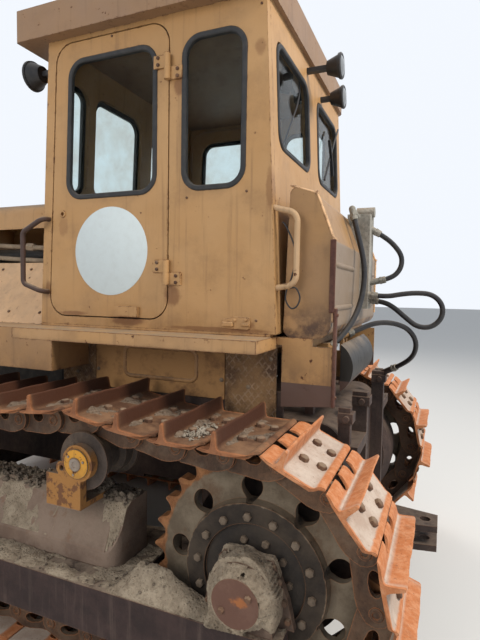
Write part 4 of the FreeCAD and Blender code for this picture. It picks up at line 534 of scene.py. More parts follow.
class Nodes:
    """Writes one material's node tree."""

    def __init__(self, name: str) -> None:
        """Make the material with its shader and its object coordinates."""
        self.material = bpy.data.materials.new(name)
        self.material.use_nodes = True
        self.tree = self.material.node_tree
        self.shader = self.tree.nodes["Principled BSDF"]
        self.places = self.new("ShaderNodeTexCoord").outputs["Object"]

    def new(self, kind: str, feeds: dict | None = None, **settings: object) -> bpy.types.Node:
        """Add a node, set its own properties and feed its inputs, named or numbered."""
        node = self.tree.nodes.new(kind)
        for key, value in settings.items():
            setattr(node, key, value)
        for key, value in (feeds or {}).items():
            self.feed(node.inputs[key], value)
        return node

    def feed(self, socket: Socket, value: object) -> None:
        """Link a socket or set its value."""
        if isinstance(value, Socket):
            self.tree.links.new(value, socket)
        elif isinstance(value, tuple) and len(value) == 3 and socket.type == "RGBA":
            socket.default_value = (*value, 1.0)
        else:
            socket.default_value = value

    def noise(self, scale: float, detail: float = 6.0, rough: float = 0.6,
              stretch: Sequence[float] = (1, 1, 1), seed: float = 0.0,
              warp: float = 0.0) -> Socket:
        """Fractal noise from 0 to 1, over stretched places."""
        places = self.new("ShaderNodeMapping", {"Vector": self.places, "Scale": stretch,
                                                "Location": (seed, seed * 0.7, seed * 1.3)})
        return self.new("ShaderNodeTexNoise", {
            "Vector": places.outputs["Vector"], "Scale": scale, "Detail": detail,
            "Roughness": rough, "Distortion": warp}).outputs["Fac"]

    def ramp(self, value: object, low: float, high: float) -> Socket:
        """Value mapped smoothly from low..high to 0..1, and held beyond them."""
        return self.new("ShaderNodeMapRange", {"Value": value, "From Min": low, "From Max": high},
                        interpolation_type="SMOOTHSTEP").outputs["Result"]

    def math(self, kind: str, a: object, b: object) -> Socket:
        """One step of arithmetic on two values."""
        return self.new("ShaderNodeMath", {0: a, 1: b}, operation=kind).outputs[0]

    def times(self, a: object, b: object) -> Socket:
        """a times b."""
        return self.math("MULTIPLY", a, b)

    def plus(self, a: object, b: object) -> Socket:
        """a and b together."""
        return self.math("ADD", a, b)

    def less(self, a: object, b: object) -> Socket:
        """a without b."""
        return self.math("SUBTRACT", a, b)

    def cloud(self, scale: float, detail: float, rough: float, seed: float, low: float,
              high: float) -> Socket:
        """Noise mapped smoothly from low..high to 0..1: patches with soft edges."""
        return self.ramp(self.noise(scale, detail, rough, seed=seed), low, high)

    def streaks(self, scale: float, detail: float, rough: float, stretch: float, low: float,
                high: float) -> Socket:
        """Runs down a face: noise drawn out along Z, mapped smoothly from low..high to 0..1."""
        return self.ramp(self.noise(scale, detail, rough, (1, 1, stretch), 4.0), low, high)

    def settled(self) -> Socket:
        """Patches of dirt on what faces up."""
        return self.times(self.ramp(self.upward(), 0.3, 0.85),
                          self.cloud(14.0, 9.0, 0.7, 3.0, 0.3, 0.58))

    def pitted(self, wide: float, deep: float, fine: float, shallow: float
               ) -> list[tuple[object, float]]:
        return [(self.noise(wide, 6.0, 0.6, seed=13.0), deep),
                (self.noise(fine, 8.0, 0.75, seed=11.0), shallow)]

    def mix(self, a: object, b: object, share: object) -> Socket:
        """Colour a turned into colour b by a share."""
        return self.new("ShaderNodeMix", {"Factor": share, 6: a, 7: b},
                        data_type="RGBA").outputs[2]

    def upward(self) -> Socket:
        """How far the surface faces up, from -1 to 1."""
        return self.part(2, self.new("ShaderNodeNewGeometry").outputs["Normal"])

    def part(self, axis: int, source: object = None) -> Socket:
        """One coordinate of the object's places, or of another vector."""
        source = self.places if source is None else source
        return self.new("ShaderNodeSeparateXYZ", {0: source}).outputs[axis]

    def shade(self, key: str) -> Socket:
        """A vector that the mesh carries at its points."""
        return self.new("ShaderNodeAttribute", attribute_name=key).outputs["Vector"]

    def away(self, x: float, z: float, wide: float = 1.0, tall: float = 1.0) -> Socket:
        """How far a place is from the line across the machine at x and z, in shares of a reach.

        The distance is the root of ((x - x0) / wide)^2 + ((z - z0) / tall)^2.
        """
        mapped = self.new("ShaderNodeMapping", {
            "Vector": self.places, "Location": (-(x + SHIFT[0]) / wide, 0.0, -z / tall),
            "Scale": (1.0 / wide, 0.0, 1.0 / tall)}).outputs["Vector"]
        return self.new("ShaderNodeVectorMath", {0: mapped}, operation="LENGTH").outputs["Value"]

    def within(self, axis: int, low: float, high: float, soft: float = 0.003) -> Socket:
        """One where a coordinate lies between two limits, and zero beyond them."""
        place = self.part(axis)
        return self.times(self.ramp(place, low - soft, low + soft),
                          self.ramp(place, high + soft, high - soft))

    def edges(self, radius: float) -> Socket:
        """How near a sharp edge is: 1 less the cosine between rounded and true normal."""
        rounded = self.new("ShaderNodeBevel", {"Radius": radius}, samples=4).outputs["Normal"]
        true = self.new("ShaderNodeNewGeometry").outputs["Normal"]
        dot = self.new("ShaderNodeVectorMath", {0: rounded, 1: true}, operation="DOT_PRODUCT")
        return self.less(1.0, dot.outputs["Value"])

    def finish(self, colour: object, rough: object, bump: Sequence[tuple[object, float]] = (),
               metallic: object = 0.0) -> Material:
        """Wire the shader; each bump pair is a height and its depth in metres."""
        for key, value in (("Base Color", colour), ("Roughness", rough), ("Metallic", metallic)):
            self.feed(self.shader.inputs[key], value)
        normal = None
        for height, depth in bump:
            feeds = {"Strength": 1.0, "Distance": depth, "Height": height}
            if normal is not None:
                feeds["Normal"] = normal
            normal = self.new("ShaderNodeBump", feeds).outputs["Normal"]
        if normal is not None:
            self.feed(self.shader.inputs["Normal"], normal)
        return self.material


@dataclass(frozen=True)
class Paint:
    """Sun-bleached paint with flakes off down to rust, rusty runs, stains, and dust on top.

    Each stain is (x, z, half width, half height, share) on the machine's sides. Each zone is
    (axis, low, high, colour): where that coordinate lies between the limits, the colour rules.
    """

    name: str
    base: Triple
    faded: Triple
    rust: Triple = (0.085, 0.032, 0.015)
    grime: Triple = (0.13, 0.07, 0.035)
    dust: Triple = (0.24, 0.175, 0.115)
    chips: float = 0.35
    runs: float = 0.4
    low_dirt: Pair = (1.30, 1.62)
    low_share: float = 0.5
    worn_edges: float = 0.8
    top_dust: float = 0.7
    rough: float = 0.5
    stains: tuple = ()
    zones: tuple = ()

    def make(self) -> Material:
        """Build the material."""
        n = Nodes(self.name)
        fade = n.cloud(1.9, 5.0, 0.6, 1.0, 0.36, 0.66)
        colour = n.mix(self.base, self.faded, fade)
        cloud = n.cloud(6.0, 9.0, 0.7, 9.0, 0.46, 0.74)
        colour = n.mix(colour, self.grime, n.times(cloud, 0.30))
        runs = n.times(n.streaks(34.0, 6.0, 0.6, 0.04, 0.54, 0.74), self.runs)
        colour = n.mix(colour, self.grime, runs)
        low = n.ramp(n.part(2), self.low_dirt[1], self.low_dirt[0])
        low = n.times(low, n.cloud(9.0, 8.0, 0.7, 2.0, 0.36, 0.62))
        colour = n.mix(colour, self.grime, n.times(low, self.low_share))
        tatter = n.noise(40.0, 9.0, 0.72, seed=12.0)
        for x, z, wide, tall, share in self.stains:
            spot = n.less(n.plus(1.0, n.times(tatter, 0.8)), n.away(x, z, wide, tall))
            spot = n.times(n.ramp(spot, 0.35, 0.85), share)
            colour = n.mix(colour, (0.16, 0.065, 0.022), spot)
        chip = n.noise(30.0, 9.0, 0.66, seed=6.0)
        edge = n.times(n.ramp(n.edges(0.012), 0.02, 0.30), 0.20 * self.worn_edges)
        chip = n.plus(chip, edge)
        limit = 0.715 - self.chips * 0.10
        chip_mask = n.ramp(chip, limit, limit + 0.012)
        near = n.ramp(chip, limit - 0.045, limit + 0.01)
        stain = n.mix(colour, (0.24, 0.115, 0.045), n.times(near, 0.55))
        colour = n.mix(stain, self.rust, chip_mask)
        for axis, start, end, tint in self.zones:
            shift = float(SHIFT[axis])
            torn = n.plus(n.within(axis, start + shift, end + shift, 0.006),
                          n.times(n.less(tatter, 0.5), 0.5))
            colour = n.mix(colour, tint, n.ramp(torn, 0.42, 0.62))
        top = n.ramp(n.upward(), 0.35, 0.9)
        top = n.times(top, n.cloud(12.0, 8.0, 0.65, 3.0, 0.25, 0.6))
        colour = n.mix(colour, self.dust, n.times(top, self.top_dust))
        rough = n.plus(self.rough, n.times(chip_mask, 0.3))
        dents = n.noise(3.0, 3.0, 0.5, seed=8.0)
        return n.finish(colour, rough, [(dents, 0.016), (chip_mask, -0.0007),
                                        (n.noise(90.0, 4.0, 0.6), 0.0004)])


@dataclass(frozen=True)
class ShoeSteel:
    """The shoes' steel: orange at the rubbed ends and lips, dark ribs, and flat plates that are pale
    tan at the rear with painted sunlight and dark on the upper run with dust and painted shade.

    The mesh carries (rubbed share, rib share, share of the upper run, which takes the dust and
    the painted shade).
    """

    name: str

    def make(self) -> Material:
        """Build the material."""
        n = Nodes(self.name)
        mask = n.shade("wear")
        rubbed, rib, upper = (n.part(i, mask) for i in range(3))
        fine = n.noise(34.0, 9.0, 0.7, seed=1.0)
        tone = n.cloud(9.0, 8.0, 0.65, 2.0, 0.35, 0.65)
        # Pale tan rear plates: painted sunlight on the rear run, with rust speckled in.
        rear = n.mix((0.40, 0.30, 0.235), (0.52, 0.43, 0.355), tone)
        rear = n.mix(rear, (0.36, 0.17, 0.085), n.times(n.ramp(fine, 0.58, 0.72), 0.6))
        # Dark plates of the upper run: dust and painted shade.
        run = n.mix((0.085, 0.042, 0.024), (0.21, 0.115, 0.062), tone)
        plate = n.mix(rear, run, upper)
        orange = n.mix((0.44, 0.155, 0.056), (0.54, 0.245, 0.12), n.ramp(fine, 0.4, 0.66))
        brown = n.mix((0.13, 0.052, 0.024), (0.28, 0.115, 0.048), tone)
        # The rubbed orange turns brown on the upper run: dirt and painted shade.
        worn = n.mix(orange, brown, n.times(upper, 0.80))
        share = n.ramp(n.plus(rubbed, n.times(fine, 0.7)), 0.80, 1.20)
        colour = n.mix(plate, worn, share)
        # Grouser sides go dark on the upper run as painted shade; the streaks over them are dirt
        # runs.
        side = n.mix(orange, (0.060, 0.023, 0.012), upper)
        side = n.mix(side, (0.055, 0.024, 0.014),
                     n.times(n.streaks(28.0, 8.0, 0.7, 0.2, 0.5, 0.7),
                             n.plus(n.times(upper, 0.6), 0.25)))
        colour = n.mix(colour, side, n.times(rib, n.less(1.0, n.times(rubbed, 0.8))))
        speck = n.cloud(90.0, 7.0, 0.7, 5.0, 0.56, 0.70)
        colour = n.mix(colour, (0.07, 0.03, 0.018), n.times(speck, 0.55))
        bright = n.times(n.ramp(n.edges(0.006), 0.04, 0.35), n.less(0.6, n.times(upper, 0.25)))
        colour = n.mix(colour, (0.42, 0.175, 0.075), bright)
        return n.finish(colour, 0.78, n.pitted(14.0, 0.004, 60.0, 0.0022))


@dataclass(frozen=True)
class FrameSteel:
    """The track frame: dark purple-brown beams with pale runs, a dusty guard, ochre brackets."""

    name: str
    beam: Triple = (0.020, 0.011, 0.010)
    beam_pale: Triple = (0.044, 0.025, 0.022)
    guard: Triple = (0.17, 0.115, 0.085)
    guard_pale: Triple = (0.25, 0.18, 0.135)
    bracket: Triple = (0.33, 0.155, 0.045)
    bracket_rust: Triple = (0.15, 0.065, 0.028)
    hub: Triple = (0.085, 0.055, 0.040)

    def make(self) -> Material:
        """Build the material: each zone is a range of heights and lengths along the machine."""
        n = Nodes(self.name)
        tone = n.cloud(7.0, 8.0, 0.65, 1.0, 0.34, 0.68)
        runs = n.streaks(26.0, 6.0, 0.6, 0.07, 0.50, 0.72)
        colour = n.mix(self.beam, self.beam_pale, tone)
        colour = n.mix(colour, (0.15, 0.105, 0.085), n.times(runs, 0.30))
        guard = n.mix(self.guard, self.guard_pale, n.cloud(5.0, 9.0, 0.7, 7.0, 0.38, 0.62))
        rust = n.cloud(14.0, 8.0, 0.7, 21.0, 0.55, 0.68)
        guard = n.mix(guard, (0.17, 0.075, 0.035), n.times(rust, 0.6))
        colour = n.mix(colour, guard, n.within(2, 0.460, 0.716))
        ahead = n.within(0, -0.20 + SHIFT[0], 0.20 + SHIFT[0])
        high = n.within(2, 0.460, 0.75)
        hub = n.mix(self.hub, (0.16, 0.11, 0.08), n.cloud(16.0, 9.0, 0.7, 9.0, 0.45, 0.65))
        colour = n.mix(colour, hub, n.times(ahead, high))
        flake = n.cloud(20.0, 9.0, 0.68, 12.0, 0.50, 0.56)
        bracket = n.mix(self.bracket, self.bracket_rust, flake)
        colour = n.mix(colour, bracket, n.within(2, 0.714, 1.2))
        face = n.ramp(n.away(0.0, 0.58, 0.086, 0.086), 1.02, 0.98)
        colour = n.mix(colour, (0.135, 0.062, 0.042), n.times(face, 0.75))
        torn = n.times(n.less(n.noise(60.0, 8.0, 0.7, seed=31.0), 0.5), 2.4)
        spot = n.plus(n.less(1.0, n.away(-0.02, 0.590, 0.036, 0.022)), torn)
        colour = n.mix(colour, (0.36, 0.125, 0.038), n.times(n.ramp(spot, 0.0, 0.6), 0.8))
        edge = n.times(n.ramp(n.edges(0.008), 0.03, 0.32), 0.30)
        colour = n.mix(colour, (0.30, 0.15, 0.075), edge)
        colour = n.mix(colour, (0.25, 0.19, 0.14), n.settled())
        return n.finish(colour, 0.85, n.pitted(9.0, 0.006, 55.0, 0.0022))


@dataclass(frozen=True)
class WheelDust:
    """The sprocket: a rubbed orange rim, a dusty grey-tan web darkened as painted shade, a dark ring
    and darker middle.
    """

    name: str
    x: float = 0.0
    z: float = 0.58006
    rim: float = 0.395
    ring: float = 0.272
    disk: float = 0.197

    def make(self) -> Material:
        """Build the material: a colour for each ring, chosen by the distance from the shaft."""
        n = Nodes(self.name)
        away = n.away(self.x, self.z)
        ragged = n.plus(away, n.times(n.less(n.noise(24.0, 7.0, 0.7, seed=2.0), 0.5), 0.035))
        tone = n.cloud(7.0, 8.0, 0.65, 1.0, 0.36, 0.66)
        # The web's dusty tan, darkened as painted shade.
        web = n.mix((0.112, 0.083, 0.055), (0.190, 0.150, 0.105), tone)
        rusty = n.cloud(5.0, 8.0, 0.7, 8.0, 0.52, 0.70)
        web = n.mix(web, (0.105, 0.055, 0.028), n.times(rusty, 0.75))
        rim = n.mix((0.17, 0.068, 0.026), (0.30, 0.135, 0.055),
                    n.cloud(22.0, 8.0, 0.7, 3.0, 0.4, 0.62))
        ring = n.mix((0.022, 0.016, 0.012), (0.055, 0.040, 0.028), tone)
        disk = n.mix((0.026, 0.021, 0.018), (0.055, 0.043, 0.033), tone)
        colour = n.mix(web, rim, n.ramp(ragged, self.rim - 0.004, self.rim + 0.006))
        colour = n.mix(ring, colour, n.ramp(ragged, self.ring - 0.004, self.ring + 0.004))
        colour = n.mix(disk, colour, n.ramp(ragged, self.disk - 0.004, self.disk + 0.003))
        colour = n.mix(colour, (0.30, 0.13, 0.05), n.times(n.ramp(
            n.edges(0.007), 0.04, 0.3), 0.55))
        speck = n.cloud(80.0, 7.0, 0.7, 5.0, 0.52, 0.72)
        colour = n.mix(colour, (0.05, 0.032, 0.02), n.times(speck, 0.4))
        return n.finish(colour, 0.86, n.pitted(11.0, 0.005, 60.0, 0.0018))


@dataclass(frozen=True)
class Rust:
    """Bare steel: two rust tones, darker hollows, and dry mud or dust on what faces up."""

    name: str
    dark: Triple
    bright: Triple
    mud: Triple = (0.27, 0.20, 0.135)
    mud_share: float = 0.5
    top_mud: float = 0.6
    edge: Triple = (0.33, 0.15, 0.065)
    edge_share: float = 0.5
    rough: float = 0.82
    metallic: float = 0.0

    def make(self) -> Material:
        """Build the material."""
        n = Nodes(self.name)
        tone = n.cloud(6.0, 8.0, 0.65, 1.0, 0.34, 0.68)
        colour = n.mix(self.dark, self.bright, tone)
        speck = n.cloud(70.0, 6.0, 0.7, 5.0, 0.45, 0.72)
        colour = n.mix(colour, tuple(c * 0.45 for c in self.dark), n.times(speck, 0.55))
        runs = n.streaks(30.0, 5.0, 0.6, 0.08, 0.5, 0.72)
        colour = n.mix(colour, tuple(c * 1.25 for c in self.bright), n.times(runs, 0.3))
        patch = n.ramp(n.noise(5.0, 9.0, 0.7, seed=7.0, warp=0.4), 0.46, 0.66)
        colour = n.mix(colour, self.mud, n.times(patch, self.mud_share))
        colour = n.mix(colour, self.mud, n.times(n.settled(), self.top_mud))
        rubbed = n.ramp(n.plus(n.edges(0.008), n.times(speck, -0.15)), 0.03, 0.32)
        colour = n.mix(colour, self.edge, n.times(rubbed, self.edge_share))
        return n.finish(colour, self.rough, n.pitted(9.0, 0.006, 55.0, 0.0022), self.metallic)


@dataclass(frozen=True)
class Mud:
    """Dry mud with pebbles and cracks."""

    name: str
    pale: Triple = (0.40, 0.32, 0.23)
    dark: Triple = (0.20, 0.15, 0.10)

    def make(self) -> Material:
        """Build the material."""
        n = Nodes(self.name)
        tone = n.cloud(16.0, 10.0, 0.72, 1.0, 0.34, 0.66)
        colour = n.mix(self.dark, self.pale, tone)
        cells = n.new("ShaderNodeTexVoronoi", {"Vector": n.places, "Scale": 85.0})
        pebble = n.ramp(cells.outputs["Distance"], 0.0, 0.55)
        colour = n.mix(colour, (0.36, 0.30, 0.23), n.times(pebble, 0.25))
        return n.finish(colour, 0.95, [(n.noise(30.0, 9.0, 0.75, seed=3.0), 0.012),
                                       (pebble, -0.0035)])


@dataclass(frozen=True)
class Plain:
    """An even surface with slight unevenness, dust in its upper faces, and a set gloss."""

    name: str
    base: Triple
    rough: float = 0.5
    metallic: float = 0.0
    dust: Triple = (0.22, 0.18, 0.14)
    dust_share: float = 0.35
    bump: float = 0.0006

    def make(self) -> Material:
        """Build the material."""
        n = Nodes(self.name)
        cloud = n.cloud(24.0, 7.0, 0.65, 2.0, 0.4, 0.75)
        colour = n.mix(self.base, self.dust, n.times(cloud, self.dust_share * 0.5))
        top = n.times(n.ramp(n.upward(), 0.2, 0.9), self.dust_share)
        colour = n.mix(colour, self.dust, top)
        return n.finish(colour, self.rough, [(n.noise(140.0, 4.0, 0.6), self.bump)], self.metallic)


@dataclass(frozen=True)
class TreadPlate:
    """Painted floor plate with raised bars that cross, under dried dirt, and a flat middle."""

    name: str
    flat: Pair = (0.294, 1.018)

    def make(self) -> Material:
        """Build the material."""
        n = Nodes(self.name)
        bars = []
        for angle in (40.0, -40.0):
            turned = n.new("ShaderNodeMapping", {"Vector": n.places,
                                                 "Rotation": (0.0, math.radians(angle), 0.0)})
            wave = n.new("ShaderNodeTexWave", {"Vector": turned.outputs["Vector"], "Scale": 13.0},
                         wave_type="BANDS", bands_direction="X")
            bars.append(n.ramp(wave.outputs["Fac"], 0.72, 0.9))
        height = n.math("MAXIMUM", bars[0], bars[1])
        flat = n.within(0, self.flat[0] + SHIFT[0], self.flat[1] + SHIFT[0])
        height = n.times(height, n.less(1.0, flat))
        tone = n.cloud(8.0, 9.0, 0.7, 2.0, 0.35, 0.62)
        colour = n.mix((0.085, 0.047, 0.028), (0.24, 0.14, 0.066), tone)
        plain = n.mix((0.34, 0.185, 0.075), (0.17, 0.088, 0.04),
                      n.cloud(7.0, 9.0, 0.7, 15.0, 0.46, 0.66))
        colour = n.mix(colour, plain, flat)
        worn = n.cloud(30.0, 8.0, 0.7, 5.0, 0.45, 0.6)
        crest = n.times(height, worn)
        colour = n.mix(colour, (0.34, 0.24, 0.16), n.times(crest, 0.6))
        return n.finish(colour, 0.85, [(height, 0.005), (n.noise(60.0, 8.0, 0.7), 0.002)])


@dataclass(frozen=True)
class Pane:
    """Thin window glass with a film of dust."""

    name: str
    tint: Triple = (0.80, 0.88, 0.88)

    def make(self) -> Material:
        """Build the material."""
        n = Nodes(self.name)
        film = n.cloud(5.0, 7.0, 0.65, 2.0, 0.35, 0.8)
        for key, value in (("Transmission Weight", 1.0), ("IOR", 1.1), ("Specular IOR Level", 0.9)):
            n.shader.inputs[key].default_value = value
        colour = n.mix(self.tint, (0.70, 0.70, 0.65), film)
        return n.finish(colour, n.times(film, 0.06))


class Finishes:
    """All the machine's materials, each built once."""

    def __init__(self) -> None:
        """Build them."""
        self.paint = Paint("ochre_paint", (0.40, 0.222, 0.088), (0.43, 0.252, 0.115)).make()
        self.side_paint = Paint(
            "cab_side_paint", (0.40, 0.222, 0.088), (0.42, 0.245, 0.108), chips=0.25, stains=(
                (0.53, 1.60, 0.05, 0.06, 0.75), (0.50, 2.52, 0.035, 0.05, 0.75),
                (0.77, 1.475, 0.11, 0.028, 0.85), (1.10, 1.50, 0.10, 0.014, 0.7),
                (0.19, 1.475, 0.07, 0.03, 0.8), (0.30, 1.455, 0.3, 0.012, 0.7),
                (1.16, 1.93, 0.035, 0.055, 0.35), (0.07, 2.05, 0.02, 0.10, 0.5),
                (1.26, 1.62, 0.02, 0.05, 0.6), (0.12, 2.62, 0.03, 0.04, 0.5))).make()
        self.tank_paint = Paint("tank_paint", (0.315, 0.175, 0.070), (0.265, 0.155, 0.075),
                                runs=0.5, chips=0.45, low_dirt=(1.45, 1.64), low_share=1.0,
                                grime=(0.055, 0.027, 0.016),
                                zones=((0, -0.23, -0.1825, (0.215, 0.155, 0.105)),)).make()
        # Pale bleached paint; on the engine side panels it is also a painted highlight for the light
        # their upward slope catches.
        self.sun_paint = Paint("bleached_paint", (0.62, 0.38, 0.20), (0.66, 0.43, 0.25),
                               chips=0.5, runs=0.3, low_dirt=(0.3, 1.1)).make()
        self.low_paint = Paint("low_paint", (0.34, 0.185, 0.075), (0.28, 0.16, 0.075), chips=0.7,
                               low_dirt=(1.15, 1.36), low_share=0.85, runs=0.5).make()
        self.cradle_paint = Paint("cradle_paint", (0.36, 0.20, 0.078), (0.32, 0.18, 0.078),
                                  chips=0.8, low_dirt=(1.24, 1.36), low_share=0.6, zones=(
                                      (0, -0.5, -0.1945, (0.016, 0.013, 0.010)),
                                      (2, 1.0, 1.238, (0.095, 0.056, 0.043)))).make()
        self.roof_paint = Paint("roof_paint", (0.255, 0.150, 0.080), (0.235, 0.145, 0.088),
                                chips=0.6, runs=0.7).make()
        self.board_paint = Paint("board_paint", (0.42, 0.235, 0.095), (0.40, 0.235, 0.11),
                                 chips=0.8, worn_edges=1.3, runs=0.4, low_share=0.35,
                                 low_dirt=(1.38, 1.40), top_dust=1.0).make()
        self.rail_paint = Plain("rail_paint", (0.052, 0.028, 0.019), 0.45).make()
        self.hand_paint = Paint("handrail_paint", (0.40, 0.255, 0.135), (0.44, 0.29, 0.165),
                                chips=0.9, low_dirt=(0.3, 1.1), zones=(
                                    (0, 0.6, 2.0, (0.050, 0.027, 0.020)),)).make()
        # The shoes' material holds painted sunlight on the rear run and painted shade on the upper
        # run.
        self.shoe = ShoeSteel("shoe_rust").make()
        self.link = Rust("link_rust", (0.050, 0.028, 0.018), (0.125, 0.068, 0.038),
                         mud=(0.17, 0.125, 0.088), mud_share=0.40, edge=(0.42, 0.155, 0.055),
                         edge_share=0.8).make()
        # The sprocket's web is darkened as painted shade.
        self.drive = WheelDust("sprocket_dust").make()
        self.wheel = Rust("wheel_rust", (0.12, 0.085, 0.06), (0.20, 0.145, 0.10),
                          mud=(0.22, 0.18, 0.135), mud_share=0.5).make()
        self.frame = Rust("frame_rust", (0.032, 0.021, 0.018), (0.070, 0.045, 0.036),
                          mud=(0.13, 0.095, 0.070), mud_share=0.30, top_mud=0.75,
                          edge_share=0.25).make()
        self.strap = Rust("strap_rust", (0.055, 0.022, 0.017), (0.10, 0.042, 0.030),
                          mud_share=0.1, edge_share=0.3).make()
        self.bolt = Rust("bolt_rust", (0.075, 0.038, 0.024), (0.16, 0.085, 0.05),
                         mud_share=0.3, edge_share=0.3).make()
        self.pale_bolt = Rust("dusty_bolt", (0.095, 0.066, 0.045), (0.19, 0.145, 0.105),
                              mud_share=0.4, edge_share=0.2).make()
        self.hub = Rust("hub_rust", (0.048, 0.036, 0.030), (0.085, 0.062, 0.05),
                        mud_share=0.2, edge_share=0.3).make()
        self.post = Rust("post_rust", (0.20, 0.095, 0.035), (0.32, 0.17, 0.065), mud_share=0.2,
                         edge_share=0.6).make()
        self.track_frame = FrameSteel("track_frame_steel").make()
        self.mud = Mud("dry_mud").make()
        self.crumbs = Mud("pale_crumbs", (0.42, 0.37, 0.30), (0.16, 0.125, 0.09)).make()
        self.gravel = Mud("gravel", (0.20, 0.155, 0.115), (0.075, 0.052, 0.038)).make()
        self.run_dirt = Mud("shoe_mud", (0.19, 0.125, 0.08), (0.065, 0.037, 0.023)).make()
        self.iron = Plain("oily_iron", (0.020, 0.017, 0.015), 0.6).make()
        self.pipe = Rust("pale_pipe", (0.16, 0.115, 0.075), (0.30, 0.23, 0.16)).make()
        self.black = Plain("black_plastic", (0.018, 0.018, 0.020), 0.5, dust_share=0.25).make()
        self.seal = Plain("window_rubber", (0.018, 0.018, 0.019), 0.55, dust_share=0.2).make()
        self.hose = Plain("hose_rubber", (0.014, 0.014, 0.016), 0.42, dust_share=0.18).make()
        self.vinyl = Plain("seat_vinyl", (0.03, 0.026, 0.022), 0.55).make()
        self.steel = Rust("worn_steel", (0.24, 0.19, 0.15), (0.38, 0.32, 0.27), mud_share=0.3,
                          rough=0.5, metallic=0.5).make()
        self.chrome = Plain("polished_rod", (0.72, 0.72, 0.70), 0.18, 1.0, dust_share=0.1).make()
        self.bracket = Rust("bracket_steel", (0.17, 0.16, 0.135), (0.34, 0.32, 0.28),
                            mud_share=0.3, edge=(0.45, 0.43, 0.38)).make()
        self.cap_yellow = Paint("cap_yellow", (0.62, 0.29, 0.025), (0.52, 0.24, 0.03), chips=1.3,
                                runs=0.8, low_dirt=(0.8, 0.95), low_share=0.5).make()
        self.tread = TreadPlate("tread_plate").make()
        self.glass = Pane("window_glass").make()
        self.lens = Plain("lamp_lens", (0.16, 0.17, 0.18), 0.12).make()
        self.bare = Plain("bare_disk", (0.54, 0.60, 0.61), 0.4, dust_share=0.2).make()

    def dress(self, nodes: dict[str, Piece]) -> None:
        """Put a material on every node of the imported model."""
        table = {
            self.side_paint: ("cab_side", "door_left", "door_right"),
            self.board_paint: ("floor_platform",),
            self.paint: ("cab_front", "cab_rear", "hood", "radiator_shell"),
            self.roof_paint: ("cab_roof",),
            self.tank_paint: ("fuel_tank",),
            self.low_paint: ("side_boxes",),
            self.cradle_paint: ("tank_cradle",),
            self.tread: ("lower_side",),
            self.rail_paint: ("exhaust", "air_cleaner", "radiator_grille"),
            self.hand_paint: ("handrails",),
            self.shoe: ("track_left", "track_right"),
            self.drive: ("sprocket",),
            self.wheel: ("idler",),
            self.hub: ("bottom_rollers", "carrier_rollers"),
            self.track_frame: ("track_frame",),
            self.frame: ("main_frame", "rear_axle", "rear_hitch", "lift_brackets"),
            self.iron: ("engine_block",),
            self.black: ("cab_fan", "control_console", "work_lamps", "headlights"),
            self.glass: ("cab_glass", "door_glass"),
            # The engine side panels take the pale paint as a painted highlight.
            self.sun_paint: ("blade", "push_frame", "lift_barrel", "engine_side"),
            self.steel: ("cutting_edge",),
            self.chrome: ("lift_rod",),
            self.vinyl: ("seat",),
            self.bracket: ("hydraulic_distributor",),
            self.hose: ("hose_",),
        }
        for name, node in nodes.items():
            for material, starts in table.items():
                if name.startswith(starts):
                    node.data.materials.clear()
                    node.data.materials.append(material)


# Light and camera


